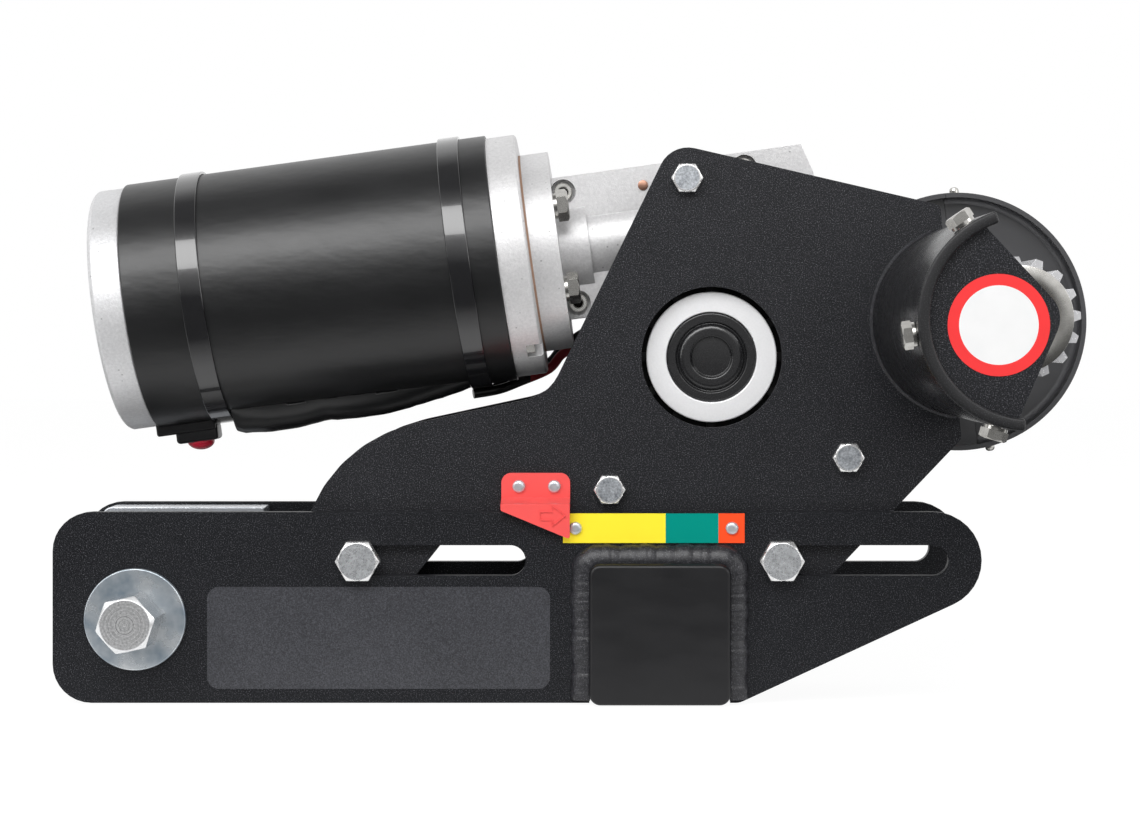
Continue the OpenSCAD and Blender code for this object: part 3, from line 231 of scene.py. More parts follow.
def seats(node):
    """X, Z and height of each separate solid in a node. A solid's list grows while it is walked."""
    mesh = merged_copy(node)
    mesh.verts.index_update()
    found = []
    waiting = set(range(len(mesh.verts)))
    for start in mesh.verts:
        if start.index not in waiting:
            continue
        waiting.discard(start.index)
        solid = [start]
        for vert in solid:
            for edge in vert.link_edges:
                other = edge.other_vert(vert)
                if other.index in waiting:
                    waiting.discard(other.index)
                    solid.append(other)
        across = [vert.co.x for vert in solid]
        heights = [vert.co.z for vert in solid]
        low, high = min(heights), max(heights)
        found.append(((min(across) + max(across)) / 2, (low + high) / 2, high - low))
    mesh.free()
    return found


hub = middle("hub_ring")
spindle = middle("actuation_spindle")
axle = middle("roller_shaft")
plate_bolts = seats("plate_bolts")
gearbox_screws = seats("gearbox_screws")
print("hub, spindle, axle:", [[round(value, 4) for value in spot] for spot in (hub, spindle, axle)])
print("plate bolts:", [[round(value, 4) for value in seat] for seat in plate_bolts])
print("gearbox screws:", [[round(value, 4) for value in seat] for seat in gearbox_screws])

# %% [markdown]
# Powder coat is melted plastic dust. Close up it is a fine orange peel with tiny bright specks, and its
# sheen is soft and weak, so the gloss of the shader is turned down. The specks are the tips of one noise,
# and a second, wider noise lets the sheen wander. An image of paint would do too, but its grain would be
# stretched on every edge. The guard is coated smoother, and only its sawn end face keeps a rough sheen.

# %% Powder coat on plates, tube and guard
bare_tip = (0.30, 0.30, 0.33)


def powder_coat(name, colour, rough, speck, gloss, peel=0.00014, sawn_end=None):
    coat = Finish(name, colour, rough, gloss=gloss)
    dust = coat.grain(0.0005, detail=2.0, rough=0.7)
    cloud = coat.grain(0.03, detail=2.0)
    mottle = dust.between(0.36, 0.62) * 0.7 + cloud * 0.3
    base = coat.blend(mottle, shade(colour, 0.45), shade(colour, 1.7))
    coat.wire("Base Color", coat.blend(dust.between(0.57, 0.68) * speck, base, bare_tip))
    sheen = rough - 0.07 + cloud * 0.08 + dust * 0.08
    if sawn_end is not None:
        sheen = sheen + (coat.axis("Y") < sawn_end) * 0.2
    coat.wire("Roughness", sheen)
    coat.bump(dust, peel, 0.7)
    return coat


guard_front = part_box("guard_pipe")[0][1]
keep("plate_black", powder_coat("charcoal_powder_coat", (0.0066, 0.0070, 0.0090), 0.39, 0.50, gloss=0.29))
keep("base_black", powder_coat("base_powder_coat", (0.0056, 0.0062, 0.0080), 0.42, 0.36, gloss=0.2))
keep("panel_dark", powder_coat("panel_film", (0.039, 0.040, 0.046), 0.34, 0.08, gloss=0.35, peel=0.00006))
keep("guard_black", powder_coat("guard_powder_coat", (0.008, 0.008, 0.009), 0.26, 0.12, gloss=0.42,
                                peel=0.00004, sawn_end=guard_front + 0.0008))
keep("weld_black", powder_coat("coated_weld", (0.017, 0.017, 0.020), 0.30, 0.35, gloss=0.42))

# %% [markdown]
# Rubber and plastic differ in their sheen, not their colour. The motor's sleeve is smooth satin rubber, its
# straps shine, the caps are dull, and the gear case is a gloss moulding with faint flow marks. So one
# function makes them all, and each call sets the sheen, the size of the skin's grain and how far the
# surface swells. One lead is drawn dark up to one place along X, and in its own colour beyond.

# %% Black rubber and plastic
def moulded(name, colour, rough, grain_size, depth, coat=0.0, gloss=0.5, swell=0.0, scuff=0.05):
    """Skin grain over a slow swell of the surface, with scuffs where the sheen changes."""
    finish = Finish(name, colour, rough, coat=coat, gloss=gloss)
    skin = finish.grain(grain_size, detail=3.0)
    flow = finish.grain(0.025, detail=3.0, stretch=(1, 1, 2.5))
    pale = tuple(channel * 1.35 + 0.002 for channel in colour)
    finish.wire("Base Color", finish.blend(flow, colour, pale))
    finish.wire("Roughness", rough - 0.04 + skin * 0.05 + flow * scuff)
    relief = skin * depth + flow * swell
    finish.bump(relief * (1 / (depth + swell)), depth + swell, 0.5)
    return finish


def dark_ended_lead(name, colour, sleeve, border):
    """Rubber drawn in a dark colour up to one place along X, and in its own colour beyond."""
    lead = moulded(name, colour, 0.38, 0.0015, 0.00003)
    lead.wire("Base Color", lead.blend(lead.axis("X") > border, sleeve, colour))
    return lead


dark_until = -0.0615
keep("sleeve_rubber", moulded("sleeve_rubber", (0.0045, 0.0047, 0.0052), 0.33, 0.0022, 0.00003, gloss=0.6,
                              swell=0.0006, scuff=0.10))
keep("strap_black", moulded("strap_gloss", (0.006, 0.006, 0.007), 0.17, 0.006, 0.00005, coat=0.8, gloss=0.6))
keep("cap_black", moulded("cap_plastic", (0.006, 0.006, 0.007), 0.30, 0.0012, 0.00003, gloss=0.38,
                          swell=0.0004, scuff=0.2))
keep("seal_rubber", moulded("seal_rubber", (0.008, 0.008, 0.009), 0.26, 0.0012, 0.00003, coat=0.3,
                            gloss=0.6))
keep("case_plastic", moulded("case_moulding", (0.042, 0.042, 0.045), 0.30, 0.002, 0.00003, coat=0.35,
                             gloss=0.6))
keep("lead_red", dark_ended_lead("lead_red_rubber", (0.30, 0.008, 0.014), (0.006, 0.006, 0.006), dark_until))
keep("lead_black", moulded("lead_black_rubber", (0.007, 0.007, 0.007), 0.40, 0.0015, 0.00003))
keep("boot_red", moulded("boot_red_rubber", (0.45, 0.008, 0.03), 0.32, 0.0015, 0.00003))

# %% [markdown]
# Castings come out of the mould with a sandy skin and pinholes. A cell pattern gives the pinholes, because
# noise has no round spots; each is only a darker spot, painted shade for a hollow with no depth. Cast
# aluminium also mirrors its room only in part, so it is half a metal here: a full metal would turn dark
# where the room is dark. Round the hub the face is painted near black: painted shade for the deep, narrow
# gap round the hub ring.

# %% Cast metal
def cast_metal(name, colour, rough, metal, painted_collar_shade=None):
    """Cast skin. A face with painted shade round a bore is given by the X and Z of the bore, a radius, and
    the Y it lies behind.
    """
    cast = Finish(name, colour, rough, metal=metal)
    sand = cast.grain(0.0013, detail=4.0, rough=0.7)
    pinhole_shade = cast.cells(0.006).between(0.05, 0.09)
    cloud = cast.grain(0.02, detail=2.0)
    mottle = cloud * 0.4 + sand.between(0.3, 0.7) * 0.6
    skin = cast.blend(mottle, shade(colour, 0.78), shade(colour, 1.1))
    # Pinholes: painted shade, a darker spot for each hollow that has no depth.
    skin = cast.blend(pinhole_shade, shade(colour, 0.55), skin)
    if painted_collar_shade is not None:
        x, z, radius, front = painted_collar_shade
        # Round the bore: painted shade for the deep, narrow gap round the hub ring, drawn near black.
        collar_shade = (cast.away_from(x, z) < radius) * (cast.axis("Y") > front)
        skin = cast.blend(collar_shade, skin, (0.012, 0.012, 0.012))
    cast.wire("Base Color", skin)
    cast.wire("Roughness", rough - 0.05 + sand * 0.12)
    cast.bump(sand, 0.00016, 0.7)
    return cast


# Where the painted shade round the hub lies: the bore, a radius and the Y behind which it starts.
collar_shade_radius = 0.037
ring_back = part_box("hub_ring")[1][1]
hub_collar_shade = (*hub, collar_shade_radius, ring_back + 0.0004)
keep("cast_aluminium", cast_metal("cast_aluminium", (0.72, 0.715, 0.72), 0.43, metal=0.45))
keep("cover_aluminium", cast_metal("cover_aluminium", (0.72, 0.715, 0.72), 0.43, metal=0.45, painted_collar_shade=hub_collar_shade))
keep("cap_aluminium", cast_metal("cap_aluminium", (0.72, 0.72, 0.73), 0.42, metal=0.5))
keep("bronze", cast_metal("machined_bronze", (0.50, 0.33, 0.14), 0.34, metal=0.95))

# %% [markdown]
# Zinc plate is bright with a cold, cloudy tint, and has fine scratches that lie in one direction. Two
# colours are mixed by a noise: small blots on screws, and large ones, drawn sharper, on the washer, where
# zinc grows in patches. Oiled steel, ground steel and the copper plug differ from zinc only in colour and
# sheen. Turned aluminium has a finer, even skin without scratches.

# %% Plated and turned metal
def plated(name, colour, rough, tint=(0.62, 0.66, 0.74), metal=1.0, patch=0.004):
    zinc = Finish(name, colour, rough, metal=metal)
    cloud = zinc.grain(patch, detail=3.0)
    if patch > 0.01:
        cloud = cloud.between(0.3, 0.7)
    scratch = zinc.grain(0.0012, detail=2.0, stretch=(1, 1, 9), turn=(0.3, 0.5, 0.2))
    zinc.wire("Base Color", zinc.blend(cloud, colour, tint))
    zinc.wire("Roughness", rough - 0.06 + cloud * 0.12 + scratch * 0.06)
    zinc.bump(scratch, 0.00002, 0.4)
    return zinc


def turned_metal(name, colour, rough, metal):
    ring = Finish(name, colour, rough, metal=metal)
    sand = ring.grain(0.0009, detail=3.0, rough=0.7)
    ring.wire("Base Color", ring.blend(sand, shade(colour, 0.88), colour))
    ring.wire("Roughness", rough - 0.05 + sand * 0.1)
    ring.bump(sand, 0.00005, 0.5)
    return ring


keep("zinc_steel", plated("zinc_plate", (0.80, 0.81, 0.83), 0.20, tint=(0.60, 0.64, 0.70), metal=0.62))
keep("washer_zinc", plated("washer_zinc", (0.74, 0.77, 0.79), 0.26, tint=(0.20, 0.26, 0.32), metal=0.7,
                           patch=0.013))
keep("bolt_steel", plated("bolt_steel", (0.66, 0.65, 0.62), 0.20, tint=(0.36, 0.35, 0.33)))
keep("dark_steel", plated("oiled_steel", (0.24, 0.24, 0.25), 0.35, tint=(0.17, 0.17, 0.18)))
keep("ground_steel", plated("ground_steel", (0.55, 0.56, 0.58), 0.25))
keep("copper_plug", plated("copper_plug", (0.62, 0.36, 0.25), 0.3, tint=(0.5, 0.27, 0.2)))
keep("ring_aluminium", turned_metal("ring_aluminium", (0.96, 0.96, 0.97), 0.34, metal=0.35))
keep("roller_aluminium", turned_metal("roller_aluminium", (0.84, 0.84, 0.86), 0.26, metal=0.55))

# %% [markdown]
# Seen from the front, each head has a pattern round its own middle: a socket screw has a dark hole, painted
# shade where the socket's hollow would be, and a bright lip, a painted highlight. A hexagon bolt has a
# mottled disc inside bright corners, and the corners are a painted highlight. Both could be painted on an
# image, but the distance to the head's middle is enough. Where several heads share one material, the screws
# take the nearest middle, and the bolts add up one disc for each.

# %% Heads of screws and bolts
large_bolt = 0.015


def socket_head(name, screws, head, socket):
    """Steel with a painted highlight on the lip and painted shade for the hole in the middle of each head,
    for its radius and its socket's.
    """
    steel = Finish(name, (0.62, 0.61, 0.58), 0.22, metal=1.0)
    cloud = steel.grain(0.002, detail=3.0)
    nearest = None
    for x, z, height in screws:
        away = steel.away_from(x, z)
        nearest = away if nearest is None else nearest.math("MINIMUM", away)
    # The lip is a painted highlight, a bright ring on each head.
    painted_lip_highlight = (nearest > head * 0.62) * (nearest < head * 0.92)
    skin = steel.blend(painted_lip_highlight * 0.8 + cloud * 0.2, (0.30, 0.29, 0.27), (0.95, 0.94, 0.90))
    # The socket hole is painted shade, near black.
    steel.wire("Base Color", steel.blend(nearest < socket, skin, (0.012, 0.011, 0.010)))
    steel.wire("Roughness", 0.18 + cloud * 0.14)
    steel.bump(nearest.between(socket * 0.9, socket * 1.1), 0.0008, 1.0)
    return steel


def bolt_head(name, bolts, back):
    """Zinc with a mottled disc on each head, as far back as one Y; outside the discs it is painted bright, a
    painted highlight on the corners. The larger bolts' discs are less mottled and take part of that painted
    highlight.
    """
    steel = Finish(name, (0.74, 0.75, 0.77), 0.24, metal=0.75)
    cloud = steel.grain(0.0035, detail=3.0)
    mottle = steel.grain(0.0011, detail=3.0, rough=0.7)
    disc = None
    for x, z, across_flats in bolts:
        radius, mottle_share = (0.0056, 1.0) if across_flats < large_bolt else (0.0084, 0.62)
        inside = (steel.away_from(x, z) < radius) * mottle_share
        disc = inside if disc is None else disc + inside
    disc = disc * (steel.axis("Y") < back)
    blots = mottle.between(0.38, 0.62) * 0.6 + cloud.between(0.35, 0.65) * 0.4
    mottled_zinc = steel.blend(blots, (0.25, 0.27, 0.30), (0.74, 0.77, 0.81))
    # Outside the discs the head is painted bright: a painted highlight on the corners.
    steel.wire("Base Color", steel.blend(disc, (0.90, 0.90, 0.90), mottled_zinc))
    steel.wire("Roughness", 0.16 + mottle * 0.14 + disc * 0.08)
    steel.bump(mottle * disc, 0.00012, 0.7)
    return steel


base_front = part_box("base_plate_front")[0][1]
keep("socket_steel", socket_head("socket_head_steel", gearbox_screws, 0.0043, 0.0021))
keep("bolt_zinc", bolt_head("bolt_zinc", plate_bolts, base_front + 0.003))

# %% [markdown]
# The spindle's end was faced on a lathe, which left fine rings round its middle. The same distance, fed to a
# noise in place of a point, gives rings of uneven width, as a tool leaves them. Only the round end has them.
# The chamfer is drawn pale and the flanks behind it dark, both without rings.

# %% The spindle's turned end
rings_per_metre = 2600


def turned_end(name, centre, front, radius):
    end = Finish(name, (0.7, 0.7, 0.71), 0.3, metal=0.65)
    away = end.away_from(*centre)
    spread = end.node("ShaderNodeCombineXYZ", X=away)
    rings = end.node("ShaderNodeTexNoise", Vector=spread, Scale=rings_per_metre, Detail=1.0)
    fleck = end.grain(0.0009, detail=3.0, rough=0.7)
    face = (end.axis("Y") < front + 0.0005) * (away < radius)
    mix = rings.between(0.35, 0.65) * 0.5 + fleck.between(0.35, 0.65) * 0.5
    turned = end.blend(mix, (0.17, 0.175, 0.18), (0.86, 0.86, 0.87))
    flank = end.blend(end.axis("Y") < front + 0.0016, (0.40, 0.41, 0.42), (0.86, 0.87, 0.88))
    end.wire("Base Color", end.blend(face, flank, turned))
    end.wire("Roughness", 0.2 + rings * 0.2 * face)
    end.bump(rings * face, 0.00006, 0.6)
    return end


spindle_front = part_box("actuation_spindle")[0][1]
keep("turned_end", turned_end("turned_end", spindle, spindle_front, 0.0112))

# %% [markdown]
# The last finishes are paint, print and fibre. The printed strip has three zones along X, whose borders are
# read from the Object coordinate, so that they stay sharp from every side.

# %% Paint, print and fibre
def paint(name, colour, rough, coat=0.1):
    enamel = Finish(name, colour, rough, coat=coat)
    peel = enamel.grain(0.0016, detail=2.0)
    cloud = enamel.grain(0.012, detail=2.0)
    enamel.wire("Base Color", enamel.blend(cloud, colour, shade(colour, 0.9)))
    enamel.wire("Roughness", rough - 0.04 + peel * 0.08)
    enamel.bump(peel, 0.00003, 0.4)
    return enamel


def printed_strip(name, first, zones):
    """Ink in one colour, then in another from each zone's start along X."""
    strip = Finish(name, first, 0.34, gloss=0.06)
    along = strip.axis("X")
    fibre = strip.grain(0.0008, detail=2.0)
    colour = first
    for start, ink in zones:
        colour = strip.blend(along > start, colour, ink)
    strip.wire("Base Color", colour)
    strip.wire("Roughness", 0.30 + fibre * 0.08)
    strip.bump(fibre, 0.00001, 0.3)
    return strip


yellow = (0.98, 0.80, 0.040)
green = (0.0, 0.27, 0.215)
orange_red = (0.98, 0.085, 0.022)
green_from = 0.0027
red_from = 0.0271
keep("pointer_red", paint("pointer_red", (0.92, 0.092, 0.086), 0.34))
keep("can_steel", paint("can_black", (0.02, 0.02, 0.02), 0.4))
keep("magnet", paint("magnet_dark", (0.05, 0.05, 0.055), 0.5))
keep("gasket", paint("gasket_fibre", (0.36, 0.22, 0.15), 0.6, coat=0.0))
keep("winding", paint("winding_lacquer", (0.30, 0.14, 0.06), 0.35))
keep("strip", printed_strip("strip_print", yellow, [(green_from, green), (red_from, orange_red)]))
keep("sign_white", paint("sign_white", (0.78, 0.78, 0.78), 0.32, coat=0.0))
keep("sign_red", paint("sign_red", (0.82, 0.030, 0.032), 0.32))

# %% [markdown]
# CAD nodes come in with the finish of their record. Here each one gets a finish from above. A node's mesh is
# left alone: only what is in its object's material slot changes.

# %% Give every CAD node its finish
node_finish = {
    "plate_black": "drive_plate_front drive_plate_rear bearing_block",
    "base_black": "base_plate_front base_plate_rear crossbar_tube",
    "guard_black": "guard_pipe",
    "weld_black": "tube_welds guard_weld",
    "cap_black": "tube_end_cap terminal_base",
    "sleeve_rubber": "motor_sleeve cable_cover",
    "seal_rubber": "hub_seal_cap lead_grommet",
    "strap_black": "sleeve_straps",
    "case_plastic": "gear_case_left gear_case_right",
    "turned_end": "actuation_spindle",
    "zinc_steel": "scale_screws plate_nuts plate_spacers guide_bushes pointer_screws spindle_clip"
                  " base_brace",
    "bolt_zinc": "plate_bolts",
    "bolt_steel": "flange_bolts guard_bolts case_screws",
    "socket_steel": "gearbox_screws",
    "washer_zinc": "spindle_washer",
    "dark_steel": "spindle_sleeves crank_arm engagement_link idler_pin",
    "ground_steel": "ball_bearings motor_shaft worm hub_shaft drive_pinion idler_gear roller_shaft"
                    " roller_gear",
    "cast_aluminium": "gearbox_body motor_bell",
    "cover_aluminium": "gearbox_cover",
    "cap_aluminium": "motor_rear_cap",
    "ring_aluminium": "hub_ring",
    "roller_aluminium": "roller",
    "bronze": "worm_wheel roller_bushes",
    "gasket": "flange_gasket",
    "can_steel": "motor_can",
    "magnet": "motor_magnets",
    "winding": "armature",
    "boot_red": "terminal_boot",
    "lead_black": "motor_leads",
    "strip": "indicator_scale",
    "pointer_red": "position_pointer",
}
finish_of = {node: name for name, nodes in node_finish.items() for node in nodes.split()}
for node, shown in frame["nodes"].items():
    if node in finish_of:
        for slot in shown.material_slots:
            slot.material = finishes[finish_of[node]]
    else:
        print("no finish yet:", node)
print("dressed", len(finish_of), "of", len(frame["nodes"]))

# %% [markdown]
# The record lists the nodes of each body. A new piece asks the other way round: it stands on or for a node,
# and has to move with that node's body. So the list is turned round once, here.

# %% Which body carries a node
body_of_node = {}
for body, nodes in frame["record"]["behaviour"]["bodies"].items():
    for node in nodes:
        body_of_node[node] = body
print("nodes with a body:", len(body_of_node))

# %% [markdown]
# The picture is taken from the front with a long lens, square to the plates. Its principal point lies above
# the middle of the frame, so the lens is shifted a little and the camera stays level: upright edges stay
# upright.

# %% Camera
lens = bpy.data.cameras.new("picture_lens")
lens.sensor_width = 36
lens.lens = 85.6
lens.shift_x = -0.0439
lens.shift_y = -0.0737
lens.clip_start = 0.05
lens.clip_end = 30
lens.dof.use_dof = False
camera = bpy.data.objects.new("picture_camera", lens)
camera.location = (-0.0183, -1.292, 0.1692)
camera.rotation_euler = (math.radians(90), 0, 0)
bpy.context.scene.collection.objects.link(camera)
bpy.context.scene.camera = camera
print("camera", tuple(round(value, 3) for value in camera.location), "lens", lens.lens)

# %% [markdown]
# Two leads come out of the cover under the motor, bend round the flange and go into a grommet in the rear
# plate. They are held at both ends, so they keep one fair curve with no slack. Their routes are the ones
# that the CAD solids follow. A curve runs through every point of a route, because a lead has no corners.

# %% The leads' routes
curve_steps = 6
lead_routes = {
    "lead_lower": ("lead_red", [
        (-0.0885, 0.0052, 0.1415), (-0.0764, 0.0087, 0.1436), (-0.0664, 0.0171, 0.1473),
        (-0.0528, 0.0225, 0.1532), (-0.0462, 0.0209, 0.1605), (-0.0362, 0.0204, 0.1654),
        (-0.0277, 0.0218, 0.1686), (-0.0224, 0.0236, 0.1695), (-0.0202, 0.0264, 0.1698),
        (-0.0202, 0.0273, 0.1698), (-0.0202, 0.0323, 0.1698), (-0.0202, 0.0400, 0.1698)]),
    "lead_upper": ("lead_black", [
        (-0.0886, 0.0122, 0.1425), (-0.0766, 0.0156, 0.1449), (-0.0667, 0.0237, 0.1495),
        (-0.0532, 0.0286, 0.1560), (-0.0466, 0.0263, 0.1631), (-0.0362, 0.0221, 0.1706),
        (-0.0277, 0.0226, 0.1738), (-0.0224, 0.0236, 0.1747), (-0.0202, 0.0264, 0.1750),
        (-0.0202, 0.0273, 0.1750), (-0.0202, 0.0323, 0.1750), (-0.0202, 0.0400, 0.1750)]),
}


def curve_between(points, steps):
    """Points on the curve that runs through all the given ones, steps of them to each stretch."""
    ends = [points[0]] + points + [points[-1]]
    for a, b, c, d in zip(ends, ends[1:], ends[2:], ends[3:]):
        for step in range(steps):
            t = step / steps
            bend = (2 * a - 5 * b + 4 * c - d) * t ** 2 + (3 * b - a - 3 * c + d) * t ** 3
            yield 0.5 * (2 * b + (c - a) * t + bend)
    yield points[-1]


for name, (finish, route) in lead_routes.items():
    fair_points = list(curve_between([Vector(point) for point in route], curve_steps))
    print(name, "in", finish, "has", len(fair_points), "points")

# %% [markdown]
# A lead could be a mesh tube, but a curve with a round bevel says the same with less: its line is the route
# and its thickness is one number. Its real length is measured along the line.

# %% The two motor leads
lead_radius = 0.0023


def motor_lead(name, finish, route):
    points = list(curve_between([Vector(point) for point in route], curve_steps))
    line = bpy.data.curves.new(name, "CURVE")
    line.dimensions = "3D"
    line.bevel_depth = lead_radius
    line.bevel_resolution = 6
    line.use_fill_caps = True
    spline = line.splines.new("POLY")
    spline.points.add(len(points) - 1)
    for place, point in zip(spline.points, points):
        place.co = (*point, 1)
    spline.use_smooth = True
    lead = bpy.data.objects.new(name, line)
    bpy.context.scene.collection.objects.link(lead)
    line.materials.append(finishes[finish])
    length = sum((b - a).length for a, b in zip(points, points[1:]))
    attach(lead, body_of_node["motor_leads"])
    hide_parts("motor_leads")
    print(name, "is", round(length, 4), "m long")


for name, (finish, route) in lead_routes.items():
    motor_lead(name, finish, route)

# %% [markdown]
# Every new piece is made in a bmesh and ends in the same way: it becomes an object with a finish and rides
# on its body. Edges are treated alike too, so four small functions do it for all that follow. The bevel
# operator takes a list of edges, where a Bevel modifier needs a weight on each, so one bore is easily left
# out.

# %% From a bmesh to a piece
def as_piece(mesh, name, finish, body, stands_for=()):
    """A finished piece from a bmesh: its place is in its mesh, and it rides on a body."""
    data = bpy.data.meshes.new(name)
    mesh.to_mesh(data)
    mesh.free()
    piece = bpy.data.objects.new(name, data)
    bpy.context.scene.collection.objects.link(piece)
    data.materials.append(finishes[finish])
    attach(piece, body)
    if stands_for:
        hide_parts(*stands_for)
    return piece


def smooth_by_angle(piece, angle):
    piece.data.shade_smooth()
    piece.data.set_sharp_from_angle(angle=math.radians(angle))


def sharp_edges(mesh, above):
    """Edges whose two faces meet at more than above degrees."""
    return [edge for edge in mesh.edges
            if edge.is_manifold and edge.calc_face_angle(0) > math.radians(above)]


def round_off(mesh, edges, radius, segments, clamp=False):
    bmesh.ops.bevel(mesh, geom=edges, offset=radius, segments=segments, profile=0.5, affect="EDGES",
                    clamp_overlap=clamp, material=-1)


cube = bmesh.new()
bmesh.ops.create_cube(cube, size=1)
print("a cube's sharp edges:", len(sharp_edges(cube, 60)))
cube.free()

# %% [markdown]
# CAD leaves every edge razor sharp, and light finds no such edge on a real part: a thin bright line along
# each rim is what makes a plate look made. So a piece that shows is copied, its loose triangles are merged
# and its flat faces joined, and its sharp edges get a small bevel. The copy rides on the same body and
# stands for the node.

# %% Round edges on a copy of a node
def rounded(node, radius, segments=2, prepare=None, chosen=None):
    """A copy with round edges: every sharp one, or only those that chosen says yes to."""
    mesh = merged_copy(node)
    if prepare is not None:
        prepare(mesh)
    sharp = [edge for edge in sharp_edges(mesh, 30) if chosen is None or chosen(edge)]
    round_off(mesh, sharp, radius, segments, clamp=True)
    piece = as_piece(mesh, node + "_rounded", finish_of[node], body_of_node[node], [node])
    smooth_by_angle(piece, 40)
    normals = piece.modifiers.new("even_faces", "WEIGHTED_NORMAL")
    normals.keep_sharp = True
    print(piece.name, len(piece.data.polygons), "faces")


edge_radius = {
    "base_plate_front": 0.0020, "base_plate_rear": 0.0020, "position_pointer": 0.0005,
    "crossbar_tube": 0.0006, "bearing_block": 0.0009, "gearbox_body": 0.0008, "gearbox_cover": 0.0008,
    "motor_bell": 0.0010, "motor_rear_cap": 0.0010, "sleeve_straps": 0.0005, "motor_sleeve": 0.0006,
    "hub_ring": 0.0006, "hub_seal_cap": 0.0005, "spindle_washer": 0.0007, "roller": 0.0007,
    "roller_bushes": 0.0006, "roller_shaft": 0.0006, "plate_bolts": 0.0003, "plate_nuts": 0.0003,
    "flange_bolts": 0.0003, "gearbox_screws": 0.0003, "actuation_spindle": 0.0004, "base_brace": 0.0006,
    "pointer_screws": 0.0002, "scale_screws": 0.0002, "crank_arm": 0.0005, "engagement_link": 0.0005,
    "lead_grommet": 0.0005,
}
for node, radius in edge_radius.items():
    rounded(node, radius)

# %% [markdown]
# Five nodes need more care. The drive plates' long curves are facets in CAD, so each shallow corner between
# two wide facets is bent first. The front plate's round hole keeps its sharp rim, because the hub ring fills
# it. The gear case's two halves were moulded, so their inner corners are filled as well. The tube's cap is
# only seen from the front, and there its edge is rounder than the others.

# %% Plates, gear case and end cap
facet_width = 0.006
hole_radius = 0.034
case_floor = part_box("gear_case_left")[0][1] + 0.0105
cap_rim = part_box("tube_end_cap")[0][1] + 0.0005


def bend_outline(mesh):
    """Bends a plate's outline where two wide facets of an arc meet in a shallow corner."""
    shallow = []
    for edge in mesh.edges:
        run = edge.verts[1].co - edge.verts[0].co
        if edge.is_manifold and abs(run.y) > 0.99 * run.length and 0.05 < edge.calc_face_angle(0) < 0.45:
            if min(face.calc_area() for face in edge.link_faces) > facet_width * run.length:
                shallow.append(edge)
    round_off(mesh, shallow, facet_width * 0.42, 4, clamp=True)
    print("shallow corners bent:", len(shallow))


def fill_corners(mesh):
    inner = [edge for edge in sharp_edges(mesh, 60)
             if not edge.is_convex and max(vert.co.y for vert in edge.verts) < case_floor]
    round_off(mesh, inner, 0.0032, 5, clamp=True)
    print("inner corners filled:", len(inner))


def outside_hole(edge):
    return all(math.dist((vert.co.x, vert.co.z), hub) > hole_radius for vert in edge.verts)


def on_cap_front(edge):
    return max(vert.co.y for vert in edge.verts) < cap_rim


rounded("drive_plate_front", 0.0011, prepare=bend_outline, chosen=outside_hole)
rounded("drive_plate_rear", 0.0011, prepare=bend_outline)
rounded("gear_case_left", 0.0010, prepare=fill_corners)
rounded("gear_case_right", 0.0010, prepare=fill_corners)
rounded("tube_end_cap", 0.0018, segments=4, chosen=on_cap_front)

# %% [markdown]
# Under the motor hangs the cover of the leads, a rubber sock. Cloth tools could drape it, but it lies tight
# on the motor and only its lower side sags. So its straight CAD wedge is cut across many times, and what is
# outside the motor's round is moved up or down to a fair, slightly wavy line.

# %% The sagging cover of the leads
motor_tilt = math.radians(7.8)
motor_spot = Vector((0.01616, 0, 0.21884))
motor_radius = 0.0586
sock_start = -0.1985
sock_step = 0.0031
sock_cuts = 36
soft_edge = 0.004
sock_line = [(-0.2010, 0.0026), (-0.1946, 0.0005), (-0.1818, -0.0010), (-0.1708, -0.0013),
             (-0.1613, -0.0006), (-0.1560, 0.0000), (-0.1532, -0.0009), (-0.1389, -0.0019),
             (-0.1294, -0.0022), (-0.1198, -0.0015), (-0.1136, -0.0006), (-0.1041, 0.0005),
             (-0.0960, 0.0017), (-0.0880, 0.0033)]


def rise_at(x):
    """How far the sock's lower side goes up or down from the wedge at one place along X."""
    for (x0, rise0), (x1, rise1) in zip(sock_line, sock_line[1:]):
        if x <= x1:
            share = min(1, max(0, (x - x0) / (x1 - x0)))
            return rise0 + (rise1 - rise0) * share * share * (3 - 2 * share)
    return sock_line[-1][1]


sock = merged_copy("cable_cover")
for step in range(sock_cuts):
    whole = sock.verts[:] + sock.edges[:] + sock.faces[:]
    cut = (sock_start + step * sock_step, 0, 0)
    bmesh.ops.bisect_plane(sock, geom=whole, plane_co=cut, plane_no=(1, 0, 0))
for vert in sock.verts:
    from_axis = vert.co - motor_spot
    low = from_axis.z * math.cos(motor_tilt) - from_axis.x * math.sin(motor_tilt)
    outside = math.hypot(low, vert.co.y) - motor_radius
    vert.co.z += rise_at(vert.co.x) * min(1, max(0, outside / soft_edge))
bmesh.ops.triangulate(sock, faces=[face for face in sock.faces if len(face.verts) > 4])
cover = as_piece(sock, "lead_sock", "sleeve_rubber", body_of_node["cable_cover"], ["cable_cover"])
smooth_by_angle(cover, 50)
print(cover.name, len(cover.data.polygons), "faces")

# %% [markdown]
# The motor's terminals sit in a black moulding of two steps, tilted with the motor, with a red rubber dome
# over the post. Each step is a cube that is scaled, tilted and bevelled, and the dome is a flattened ball.
# The two steps overlap inside one piece. They need no union, because only their outside is seen.

